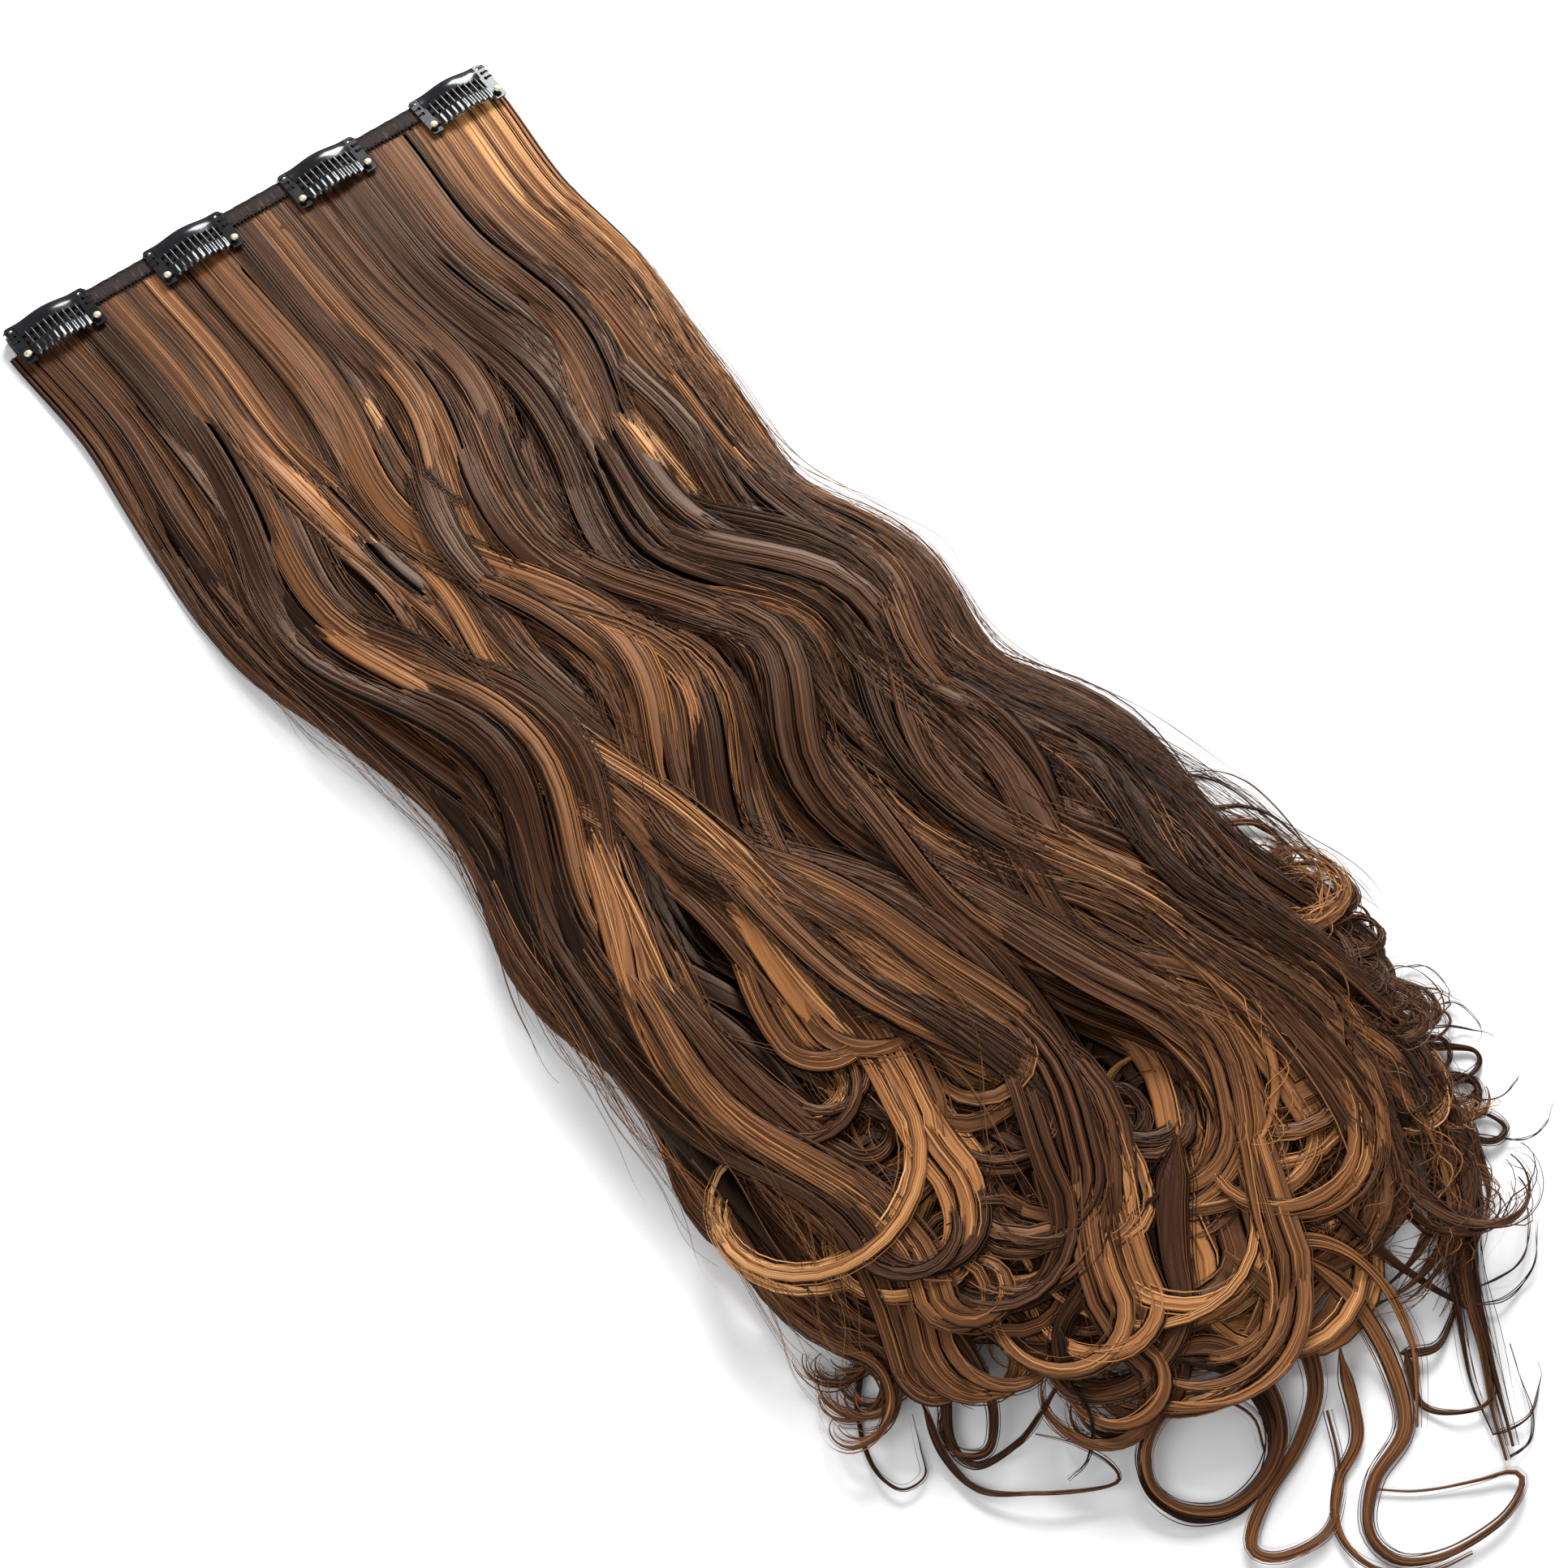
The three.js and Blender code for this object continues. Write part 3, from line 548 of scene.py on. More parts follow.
def hair_piece(name, groups):
    """Makes groups of grids one piece of the hair."""
    spots, normals, tones, seeds, faces, places, baked = [], [], [], [], [], [], []
    first, grid = 0, 0
    patches = patches_for(groups)
    for g in groups:
        count, rows, columns = g["across"].shape
        spots.append(g["spots"].reshape(-1, 3))
        normals.append(g["normal"].reshape(-1, 3))
        tones.append(g["tone"].ravel())
        seeds.append(np.repeat(g["seed"], rows * columns))
        along = np.broadcast_to(g["along"][..., None], g["across"].shape)
        places.append(np.stack([g["across"], along], -1).reshape(-1, 2))
        left, low, wide = patches[grid:grid + count, :, None, None].transpose(1, 0, 2, 3)
        column, row = np.linspace(0.1, 0.9, columns), np.linspace(0.02, 0.98, rows)[:, None]
        own = np.stack(np.broadcast_arrays(left + wide * column, low + row / SHELVES), -1)
        baked.append(np.broadcast_to(own, (count, rows, columns, 2)).reshape(-1, 2))
        start = first + np.arange(count)[:, None, None] * rows * columns
        corner = start + np.arange(rows - 1)[None, :, None] * columns + np.arange(columns - 1)
        ahead = corner + columns
        faces.append(np.stack([corner, corner + 1, ahead + 1, ahead], -1).reshape(-1, 4))
        first += count * rows * columns
        grid += count
    faces = np.concatenate(faces)
    mesh = bpy.data.meshes.new(name)
    mesh.vertices.add(first)
    mesh.vertices.foreach_set("co", np.concatenate(spots).astype(np.float32).ravel())
    mesh.loops.add(faces.size)
    mesh.loops.foreach_set("vertex_index", faces.astype(np.int32).ravel())
    mesh.polygons.add(len(faces))
    mesh.polygons.foreach_set("loop_start", np.arange(0, faces.size, 4, dtype=np.int32))
    mesh.update(calc_edges=True)
    for key, numbers in (("tone", np.concatenate(tones)), ("seed", np.concatenate(seeds))):
        mesh.attributes.new(key, "FLOAT", "POINT").data.foreach_set("value", numbers.astype(np.float32))
    for key, uv in (("OFBake", np.concatenate(baked)), ("strand", np.concatenate(places))):
        mesh.uv_layers.new(name=key).uv.foreach_set("vector", uv[faces.ravel()].astype(np.float32).ravel())
    mesh.polygons.foreach_set("use_smooth", np.ones(len(faces), dtype=bool))
    mesh.normals_split_custom_set_from_vertices(np.concatenate(normals))
    piece = bpy.data.objects.new(name, mesh)
    bpy.context.collection.objects.link(piece)
    mesh.materials.append(hair_material)
    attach(piece, "root")
    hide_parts("hair")
    print(name, len(faces) * 2, "triangles")


print("a body's patch is as wide as those of", BODY_PATCH, "strands")

# %% [markdown]
# The locks below are plainer, because only glimpses of them show, and darker: partly their own colour,
# partly painted shade for their depth under the upper locks. The upper ones have more tresses, with
# more strands over each. Every tress is a little lighter or darker than its lock, and now and then one
# is far brighter, most often in the dyed locks. That gives the long streaks.

# %% Strands of every lock
UNDER_PLACES = [(-0.8, 0.3), (-0.5, 0.7), (-0.15, 0.9), (0.2, 0.9), (0.5, 0.7), (0.8, 0.3)]
TOP_PLACES = [(-1.0, -0.2), (-0.85, 0.2), (-0.6, 0.7), (-0.35, 0.95), (-0.1, 1.25), (0.15, 0.8),
              (0.4, 1.1), (0.65, 0.55), (0.88, 0.35), (1.0, -0.2), (0.0, 0.4)]
UNDER_STRANDS, TOP_STRANDS = 3, 7
BREADTH = 0.46 * MM
WISPS = (0.0, -1.0, 1.0)
STREAKS = [-0.12, -0.08, -0.04, 0.0, 0.0, 0.03, 0.07, 0.13]
DYED = ("centre", "centre_left", "left_turn", "left_face")
DYED_STREAKS, PLAIN_STREAKS = (0.24, 0.36), (0.16, 0.18)
SIDE_BODIES_FROM = 0.6
CURL_LIGHTER = 0.06
REGIONS = [("left", 0.2), ("left_middle", 0.45), ("middle", 0.6), ("right_middle", 0.86), ("right", 1.1)]

rng = np.random.default_rng(11)
groups_by_region = {region: [] for region, _ in REGIONS}
for lock in LOCKS:
    under = lock["name"].startswith("under")
    region = next(name for name, seam in REGIONS if lock["seam"] < seam)
    for side, height in UNDER_PLACES if under else TOP_PLACES:
        run = tress_run(lock, side, height, rng)
        bright, share_bright = DYED_STREAKS if lock["name"] in DYED else PLAIN_STREAKS
        streak = rng.choice(STREAKS) + (bright if rng.random() < share_bright else 0)
        for part in WISPS:
            wisp = wisp_line(lock, run, part, rng)
            tones = np.interp(wisp["share"], TONE_AT, lock["tones"]) + streak
            tones = tones + CURL_LIGHTER * smooth(0, 1, wisp["curled"])
            first = 0 if part == 0 else int(RUN_POINTS * SIDE_BODIES_FROM)
            groups_by_region[region].append(body_of(wisp, tones, rng, first))
            count = UNDER_STRANDS if under else TOP_STRANDS
            groups_by_region[region].append(strands_of(wisp, count, BREADTH, rng, tones))
for region, groups in groups_by_region.items():
    hair_piece("hair_" + region, groups)

# %% [markdown]
# Between the wisps the eye would still find gaps down to the table. Real hair is so dense that it
# never does, so a core fills each lock from within: a body at three quarters of the lock's size
# that tapers away before the curl begins. It wears the same finish in a deep tone, painted shade for
# the hair's depths between the wisps.

# %% Core of the hair
CORE_SIZE = 0.76

core = []
for lock in LOCKS:
    share = np.linspace(0, lock["reach"] * 0.94, RUN_POINTS)
    centres, width, thickness = lock_run(lock, share)
    taper = CORE_SIZE * (1 - 0.9 * smooth(0.8, 1, share / share[-1]))
    inner = {"line": centres, "half": width / 2 * taper, "deep": thickness / 2 * taper, "share": share,
             "roll": np.zeros(RUN_POINTS)}
    # Painted shade: the core's tone is kept low, the dark of the depths inside each lock.
    core.append(body_of(inner, 0.12 + 0.1 * np.interp(share, TONE_AT, lock["tones"]), rng))
hair_piece("hair_core", core)

# %% [markdown]
# The loops around the tips and the right side make the outline of the hair, so each of the large
# ones is drawn: its half width, its tone and the places on the table that it passes, in
# millimetres. A smooth curve runs through the places. It lies over the hair where it starts, and
# sinks to the table at the tips. A loop of the right side gets a thinner and lighter twin beside it.
# Each is then dressed with strands like every other wisp, and the wider ones with a body too.

# %% Places of the loops
LOOPS = [
    (1.8, 0.62, [(30, -515), (37, -535), (36, -556), (27, -573), (10, -579), (-1, -589), (0, -601),
                 (12, -610), (30, -613), (42, -608), (43, -602), (33, -597), (18, -589),
                 (7, -580)]),
    (1.3, 0.60, [(26, -545), (15, -566), (2, -573), (-7, -582), (-9, -592), (-5, -602), (5, -611),
                 (18, -616)]),
    (2.0, 0.60, [(14, -505), (18, -530), (14, -548), (0, -558), (-18, -564), (-29, -570),
                 (-31, -575), (-25, -580), (-12, -582), (-2, -577), (6, -568), (12, -556)]),
    (2.2, 0.56, [(-22, -517), (-8, -522), (-1, -531), (0, -543), (-5, -554), (-16, -560),
                 (-29, -560), (-39, -553), (-43, -544), (-40, -536), (-32, -531), (-21, -530),
                 (-12, -536), (-7, -545), (-10, -554)]),
    (1.3, 0.14, [(-18, -520), (-6, -532), (-4, -548), (-13, -559), (-27, -562), (-40, -556),
                 (-45, -545), (-42, -535), (-33, -529), (-24, -529)]),
    (3.4, 0.44, [(26, -470), (12, -484), (2, -497), (-6, -510), (-18, -518), (-32, -519),
                 (-43, -514), (-47, -505), (-42, -497), (-30, -494), (-17, -497), (-10, -505)]),
    (2.6, 0.30, [(10, -480), (-8, -486), (-24, -489), (-38, -494), (-44, -503), (-38, -513),
                 (-24, -517), (-12, -512), (-6, -503)]),
    (0.8, 0.40, [(-80, -484), (-84, -500), (-82, -514), (-71, -524), (-59, -532), (-50, -536),
                 (-49, -531), (-54, -521), (-61, -512)]),
    (1.0, 0.24, [(-70, -482), (-80, -497), (-79, -508), (-66, -511), (-54, -508), (-44, -504),
                 (-36, -500)]),
    (0.7, 0.12, [(-38, -493), (-45, -506), (-47, -519), (-53, -526), (-61, -527)]),
    (1.6, 0.34, [(-62, -470), (-63, -486), (-66, -499), (-74, -507), (-81, -502), (-80, -493),
                 (-74, -488)]),
    (0.6, 0.34, [(-84, -462), (-96, -475), (-102, -490), (-100, -500), (-92, -501), (-88, -494),
                 (-84, -485)]),
    (0.8, 0.34, [(98, -366), (112, -385), (124, -393), (133, -403), (136, -416), (134, -429),
                 (127, -441), (118, -452), (112, -462)]),
    (0.4, 0.40, [(104, -378), (118, -392), (125, -405), (128, -420), (127, -434)]),
    (0.8, 0.46, [(102, -457), (112, -447), (122, -442), (131, -440), (134, -444), (129, -450),
                 (120, -458), (113, -463)]),
    (2.0, 0.48, [(94, -400), (110, -408), (121, -415), (124, -423), (120, -431), (112, -438),
                 (108, -447), (115, -452), (114, -460)]),
    (2.4, 0.40, [(92, -460), (106, -460), (118, -466), (122, -474), (118, -481), (108, -484),
                 (96, -485)]),
    (1.1, 0.34, [(94, -472), (108, -486), (120, -494), (126, -499), (123, -503), (113, -504),
                 (101, -501), (92, -496)]),
    (1.6, 0.30, [(88, -485), (102, -497), (112, -501), (117, -506), (113, -512), (106, -513),
                 (103, -509), (106, -505)]),
    (1.4, 0.30, [(90, -488), (98, -508), (102, -518), (108, -524), (114, -523), (113, -517),
                 (107, -513), (101, -513)]),
    (3.0, 0.36, [(80, -462), (94, -485), (100, -503), (97, -519), (86, -535), (74, -551),
                 (65, -566), (56, -581), (48, -596)]),
    (2.2, 0.48, [(76, -470), (90, -492), (95, -508), (90, -524), (79, -540), (68, -555), (60, -570),
                 (51, -584), (44, -598)]),
    (1.6, 0.30, [(70, -480), (82, -500), (90, -515), (84, -529), (72, -542), (62, -558), (52, -574),
                 (46, -590)]),
    (0.8, 0.24, [(72, -495), (66, -510), (69, -523), (80, -526), (92, -521)]),
    (0.8, 0.24, [(66, -500), (76, -507), (86, -512), (97, -509)]),
    (0.8, 0.26, [(60, -500), (64, -520), (70, -536), (82, -534), (95, -522)]),
    (1.6, 0.32, [(48, -505), (52, -528), (60, -546), (66, -560), (62, -572)]),
    (0.9, 0.36, [(40, -556), (50, -561), (62, -556), (74, -546)]),
    (0.7, 0.40, [(42, -556), (36, -571), (44, -580), (54, -581), (62, -568)]),
    (1.8, 0.66, [(24, -508), (40, -520), (48, -538), (46, -554), (38, -566), (30, -575)]),
    (0.3, 0.30, [(68, -553), (85, -557), (97, -551), (104, -541)]),
    (0.3, 0.26, [(66, -557), (76, -562), (90, -560), (101, -550)]),
    (0.3, 0.30, [(45, -598), (54, -597), (62, -586), (68, -573)]),
    (0.3, 0.36, [(46, -590), (58, -592), (68, -586), (71, -582)]),
    (0.4, 0.30, [(108, -478), (120, -486), (131, -492), (141, -499)]),
    (0.2, 0.30, [(112, -478), (126, -480), (137, -484), (139, -494), (130, -498)]),
    (0.2, 0.30, [(104, -518), (116, -529), (128, -529), (140, -526)]),
]
print(len(LOOPS), "loops drawn by hand")

# %% Loops at the tips
LOOP_POINTS = 76
LOOP_STRANDS_WIDE = 0.38 * MM
BODY_FROM = 0.5
RIGHT_SIDE = 87
TWIN_SIZE, TWIN_LIGHTER, TWIN_SHIFT = 0.6, 0.08, (2, 15)
TIPS_FROM, TIPS_FLAT = 0.84, 0.93


def smooth_path(places, count):
    """Points at even steps along a curve through the places."""
    knots = np.array(places, dtype=float) * MM
    rows = np.vstack([2 * knots[0] - knots[1], knots, 2 * knots[-1] - knots[-2]])
    t = np.linspace(0, 1, 16, endpoint=False)[:, None]
    curve = []
    for a, b, c, d in zip(rows, rows[1:], rows[2:], rows[3:]):
        square, cube = 2 * a - 5 * b + 4 * c - d, 3 * b - a - 3 * c + d
        curve.append(0.5 * (2 * b + (c - a) * t + square * t**2 + cube * t**3))
    curve = np.vstack(curve + [knots[-1:]])
    run = np.concatenate([[0], np.cumsum(np.linalg.norm(np.diff(curve, axis=0), axis=1))])
    even = np.linspace(0, run[-1], count)
    return np.stack([np.interp(even, run, curve[:, axis]) for axis in (0, 1)], 1), run[-1]


def loop_wisp(half, places):
    """A loop as a wisp: over the hair at its start, down on the table at the tips."""
    path, length = smooth_path(places, LOOP_POINTS)
    t = np.linspace(0, 1, LOOP_POINTS)
    share = np.clip((HAIR_TOP - path[:, 1]) / HAIR_LENGTH, 0, 1)
    left, right = (outline_at(edge, share) * WEFT_WIDTH for edge in ("left", "right"))
    inside = 1 - np.abs(2 * (path[:, 0] - left) / np.maximum(right - left, 1 * MM) - 1)
    mound = outline_at("depth", share) * HAIR_DEPTH * 0.8 * smooth(0.0, 0.45, inside)
    mound = mound * (1 - smooth(TIPS_FROM, TIPS_FLAT, share))
    height = (2 + 0.8 * turns(rng, 2, t)) * MM + mound * (1 - 0.35 * smooth(0.3, 1, t))
    wide = half * MM * smooth(-0.02, 0.1, t) * (1.9 - 0.9 * smooth(0.1, 0.5, t))
    return {"line": np.column_stack([path, np.maximum(height, LOWEST)]), "roll": np.zeros(LOOP_POINTS),
            "half": wide * (1 - 0.8 * smooth(0.5, 1, t)),
            "deep": max(half * 0.45, 0.2) * MM * (1 - 0.4 * smooth(0.7, 1, t)),
            "loose": 0.6 * half * MM, "frizz": 0.3 * MM, "curled": smooth(0.3, 1, t), "progress": 0.7 + t,
            "share": 0.8 + t * length / HAIR_LENGTH}


twins = [(half * TWIN_SIZE, tone + TWIN_LIGHTER, [(x + TWIN_SHIFT[0], y + TWIN_SHIFT[1]) for x, y in places])
         for half, tone, places in LOOPS if places[0][0] > RIGHT_SIDE]
loops = []
for half, tone, places in LOOPS + twins:
    wisp = loop_wisp(half, places)
    tones = tone + 0.05 * turns(rng, 1.2, np.linspace(0, 1, LOOP_POINTS))
    if half > BODY_FROM:
        loops.append(body_of(wisp, tones, rng))
    loops.append(strands_of(wisp, 2 + int(half * 6), LOOP_STRANDS_WIDE, rng, tones))
hair_piece("hair_loops", loops)

# %% [markdown]
# The hair hangs on a sewn band. Its hair ends are folded into a seam, and a woven tape is sewn over
# them. Both are long rods with a rounded section, so both are lofts: one ring of points after another
# along the weft, joined by quads. The same helper then makes the clips' bars, combs and stitches.

# %% Lofts and pieces
EDGE_TURN = math.radians(38)


def loft(rings):
    """Vertices and faces of rings of points joined in order, with both ends closed."""
    rows, sides = rings.shape[:2]
    row, side = np.meshgrid(np.arange(rows - 1), np.arange(sides), indexing="ij")
    here, beside = row * sides + side, row * sides + (side + 1) % sides
    faces = np.stack([here, beside, beside + sides, here + sides], -1).reshape(-1, 4).tolist()
    faces.append(list(range(sides))[::-1])
    faces.append(list(range((rows - 1) * sides, rows * sides)))
    return rings.reshape(-1, 3), faces


def joined(parts):
    """Several vertex and face lists as one."""
    vertices, faces, first = [], [], 0
    for spots, polygons in parts:
        vertices.append(np.asarray(spots))
        faces += [[first + corner for corner in polygon] for polygon in polygons]
        first += len(spots)
    return np.concatenate(vertices), faces


def solid_piece(name, shape, material, body="root", nodes=()):
    """Makes a closed mesh, given in millimetres, a piece of the object."""
    vertices, faces = shape
    mesh = bpy.data.meshes.new(name)
    mesh.from_pydata((np.asarray(vertices) * MM).tolist(), [], faces)
    mesh.polygons.foreach_set("use_smooth", np.ones(len(faces), dtype=bool))
    mesh.set_sharp_from_angle(angle=EDGE_TURN)
    mesh.validate()
    mesh.materials.append(material)
    piece = bpy.data.objects.new(name, mesh)
    bpy.context.collection.objects.link(piece)
    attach(piece, body)
    if nodes:
        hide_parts(*nodes)
    print(name, sum(len(face) - 2 for face in faces), "triangles")
    return piece


def rounded_box(low_y, high_y, low_z, high_z, radius, corner_steps=4):
    """The outline of a rod's section: a box in y and z with round corners."""
    centres = [(high_y - radius, high_z - radius, 0), (low_y + radius, high_z - radius, 90),
               (low_y + radius, low_z + radius, 180), (high_y - radius, low_z + radius, 270)]
    points = []
    for y, z, start in centres:
        for angle in np.radians(np.linspace(start, start + 90, corner_steps + 1)):
            points.append((y + radius * math.cos(angle), z + radius * math.sin(angle)))
    return np.array(points)


print("edges that turn more than", round(math.degrees(EDGE_TURN)), "degrees stay sharp")

# %% [markdown]
# Band and seam get a woven finish. The tape's two thread systems are two rows of waves at a right
# angle: where one thread is up, the other is down. Below the top edge the hair's own ends show
# through, which gives dark brown streaks that run across the band. Thread is the same dark colour,
# and a wave along it makes its twist.

# %% Cloth and thread finishes
WEAVE_PITCH = 0.0009
TWIST_PITCH = 0.0006
STREAKS_ALONG, STREAKS_ACROSS = 800, 90
EDGE_SHARPNESS = 700


def table_place(start):
    """A wire with the place in metres, the same for every piece."""
    return start.node("ShaderNodeTexCoord", output=3)


def axes_of(place):
    """The three numbers of a place, each as a wire."""
    return [place.node("ShaderNodeSeparateXYZ", inputs={0: place}, output=axis) for axis in range(3)]


def band_finish(name, dark, light, edge):
    """Woven cloth above the line y = edge, and streaks of hair ends below it."""
    material, start, shader = new_finish(name, Roughness=0.8, Specular_IOR_Level=0.25)
    x, y, _ = axes_of(table_place(start))
    own = {0: x * STREAKS_ALONG, 1: y * STREAKS_ACROSS}
    streaks = noise(start.node("ShaderNodeCombineXYZ", inputs=own), 1.0, Detail=4.0)
    warp = start.math("SINE", x * (2 * math.pi / WEAVE_PITCH))
    weft = start.math("SINE", y * (2 * math.pi / WEAVE_PITCH))
    weave = warp * weft * 0.5 + 0.5
    top = start.math("SMOOTH_MAX", (y - edge) * EDGE_SHARPNESS, 0.0)
    shown = start.math("MINIMUM", top, 1.0)
    tone = (streaks * 1.5 - 0.35) * (1 - shown) + weave * 0.25 * shown
    feed(shader, "Base Color", ramp(tone, [(0.05, dark), (0.45, light), (0.9, shade(116, 84, 70))]))
    feed(shader, "Roughness", 0.5 + streaks * 0.4)
    relief(shader, weave * 0.6 + streaks * 0.6, 0.8, 0.0003)
    return material


def thread_finish():
    """Dark spun thread, with a twist along it."""
    material, start, shader = new_finish("sewing_thread", Roughness=0.6, Specular_IOR_Level=0.35)
    place = table_place(start)
    x, y, _ = axes_of(place)
    twist = start.math("SINE", (x + y) * (2 * math.pi / TWIST_PITCH))
    fuzz = noise(place, 900.0)
    stops = [(0.2, shade(15, 12, 11)), (0.8, shade(58, 46, 40))]
    feed(shader, "Base Color", ramp(fuzz + twist * 0.12, stops))
    feed(shader, "Roughness", 0.45 + fuzz * 0.3)
    relief(shader, twist, 0.6, 0.0001)
    return material


tape_material = band_finish("woven_tape", shade(12, 9, 8), shade(44, 31, 26), 0.0006)
seam_material = band_finish("sewn_hair_ends", shade(22, 13, 9), shade(62, 42, 30), 0.0040)
thread_material = thread_finish()
print("band finishes:", tape_material.name, seam_material.name, thread_material.name)

# %% [markdown]
# The seam is a fold with round edges. The tape is thinner, and it
# dips a little at each stitch, where the thread pulls it down.

# %% Seam and tape
SEAM_HALF = 100
TAPE_HALF = 99.4
TAPE_TOP = 4.5
STITCH_PITCH = 3.2
STITCH_ROWS = (-2.7, 2.7)
SEAM_RIPPLE, TAPE_RIPPLE = 0.05, 0.1


def band_loft(half, section, ripple):
    """A rod along the weft whose upper side ripples with the stitches."""
    stations = np.arange(-half, half + 0.01, 0.8)
    stations[-1] = half
    rings = []
    for x in stations:
        ring = np.column_stack([np.full(len(section), x), section])
        pull = 0.5 - 0.5 * math.cos(2 * math.pi * x / STITCH_PITCH)
        upper = ring[:, 2] > section[:, 1].mean()
        ring[upper, 2] -= ripple * pull
        ring[:, 1] += ripple * math.sin(x * 0.9) * 0.8
        rings.append(ring)
    return loft(np.array(rings))


seam_shape = band_loft(SEAM_HALF, rounded_box(-3.9, 3.9, 0.0, 2.95, 1.2), SEAM_RIPPLE)
tape_shape = band_loft(TAPE_HALF, rounded_box(-3.5, 3.5, 3.3, TAPE_TOP, 0.45), TAPE_RIPPLE)
solid_piece("seam", seam_shape, seam_material, nodes=["weft_seam"])
solid_piece("tape", tape_shape, tape_material, nodes=["weft_tape"])

# %% [markdown]
# Two rows of running stitches hold the tape, and a row of short overcast stitches ties the hair
# below it. A stitch is a short fat loft along a line of a few places, thin at both ends.

# %% Stitches
THREAD, FINE_THREAD = 0.34, 0.3
OVERCAST_PITCH = 1.45


def stitch(places, thickness=THREAD, rows=7, sides=6):
    """A thread through a few places, pinched at its ends."""
    places = np.array(places, dtype=float)
    at = np.linspace(0, 1, len(places))
    t = np.linspace(0, 1, rows)
    line = np.stack([np.interp(t, at, places[:, axis]) for axis in range(3)], 1)
    line[1:-1] = (line[:-2] + 2 * line[1:-1] + line[2:]) / 4
    travel = unit(np.gradient(line, axis=0))
    beside = unit(np.cross(travel, np.array([0.31, 0.17, 1.0])))
    above = np.cross(beside, travel)
    angle = np.linspace(0, 2 * math.pi, sides, endpoint=False)
    size = thickness / 2 * np.sqrt(np.maximum(1 - (2 * t - 1) ** 6, 0.15))
    ring = np.cos(angle)[None, :, None] * beside[:, None] + np.sin(angle)[None, :, None] * above[:, None]
    return loft(line[:, None] + ring * size[:, None, None])


stitches = []
for row in STITCH_ROWS:
    for x in np.arange(-TAPE_HALF + 1.5, TAPE_HALF - 1.5, STITCH_PITCH):
        y = row + rng.uniform(-0.08, 0.08)
        top = TAPE_TOP + 0.05
        stitches.append(stitch([(x - 1.15, y, top - 0.3), (x - 0.8, y, top), (x + 0.8, y + 0.1, top),
                                (x + 1.15, y + 0.1, top - 0.3)]))
for x in np.arange(-TAPE_HALF + 0.6, TAPE_HALF - 0.5, OVERCAST_PITCH):
    lean = rng.uniform(0.2, 0.7)
    stitches.append(stitch([(x, -2.9, TAPE_TOP - 0.15), (x + 0.1, -3.5, TAPE_TOP - 0.05),
                            (x + lean, -4.4, 3.75), (x + lean, -5.6, 3.35)], FINE_THREAD))
solid_piece("band_stitches", joined(stitches), thread_material)

# %% [markdown]
# The clips are steel in black enamel: smooth, with a thin gloss coat, a fine grain and faint smears.
# It turns to pale steel where a number called wear, which a mesh carries, is high: partly
# where the paint rubs off, partly a painted glint. The rivets are pale brass with small duller spots.
# Noise over the place makes all of these, with nothing drawn.

# %% Clip finishes


def enamel_finish():
    """Black enamel that turns to pale steel in places, partly where its paint rubs off and partly as a painted
    glint.
    """
    tint = (0.9, 0.95, 1.0, 1)
    material, start, shader = new_finish("clip_enamel", Roughness=0.2, Coat_Roughness=0.05,
                                         Specular_IOR_Level=0.3, Specular_Tint=tint)
    place = table_place(start)
    grain = noise(place, 2600.0, Detail=2.0)
    smear = noise(place, 260.0, Detail=3.0)
    rub_and_glint_level = start.node("ShaderNodeAttribute", {"attribute_name": "wear"}, output=2)
    # Pale steel where wear is high: partly paint rubbing off, partly a painted glint.
    bare_and_glint = start.node("ShaderNodeMapRange", inputs={0: rub_and_glint_level + (smear - 0.5) * 0.5, 1: 0.62, 2: 0.86})
    black = ramp(smear, [(0.3, shade(9, 9, 11)), (0.8, shade(22, 23, 27))])
    steel = (*shade(150, 152, 156), 1)
    colour = start.node("ShaderNodeMix", {"data_type": "RGBA"}, {0: bare_and_glint * 0.75, 6: black, 7: steel}, 2)
    feed(shader, "Base Color", colour)
    feed(shader, "Roughness", 0.14 + smear * 0.16 + bare_and_glint * 0.1)
    feed(shader, "Metallic", bare_and_glint * 0.8)
    feed(shader, "Coat Weight", 0.25 - bare_and_glint * 0.2)
    relief(shader, grain, 0.25, 0.00004)
    return material


def rivet_finish():
    """Pale brass with small duller spots."""
    material, start, shader = new_finish("rivet_brass", Roughness=0.3, Metallic=0.55)
    spots = noise(table_place(start), 1400.0, Detail=3.0)
    feed(shader, "Base Color", ramp(spots, [(0.3, shade(190, 172, 128)), (0.7, shade(244, 234, 206))]))
    feed(shader, "Roughness", 0.22 + spots * 0.2)
    relief(shader, spots, 0.3, 0.00005)
    return material


enamel_material = enamel_finish()
brass_material = rivet_finish()
print("clip finishes:", enamel_material.name, brass_material.name)

# %% [markdown]
# A snap clip's frame is one stamped steel sheet: two flat end plates with sewing holes, and a bowed,
# slightly domed bar that joins them. The plates come from outlines. Each outline is repeated in four
# rings, the lowest and the highest drawn in a little, so that every edge has a small round that
# catches the light. A clip's own numbers count from its hinge line: x along the clip, y toward its
# bar, and z up from its underside. One helper moves a finished shape to its place on the band.

# %% Frames
CLIP_CENTRES = (-84, -28, 28, 84)
CLIP_NUMBERS = range(1, len(CLIP_CENTRES) + 1)
CLIP_HALF = 16
SLOT_HALF = 11.5
BAR_LOW, BAR_HIGH = 8.6, 14.8
BAR_REACH = 12.1
BOW_RISE, BOW_HALF = 1.6, 11.2
PLATE = 0.6
FOOT = -3.2
HINGE_Y = -9.9
CLIP_BASE = 4.8
EDGE_ROUND = 0.14
SEWING_Y = (12.9, 10.2, 7.5)
RIVET_X = 13.75


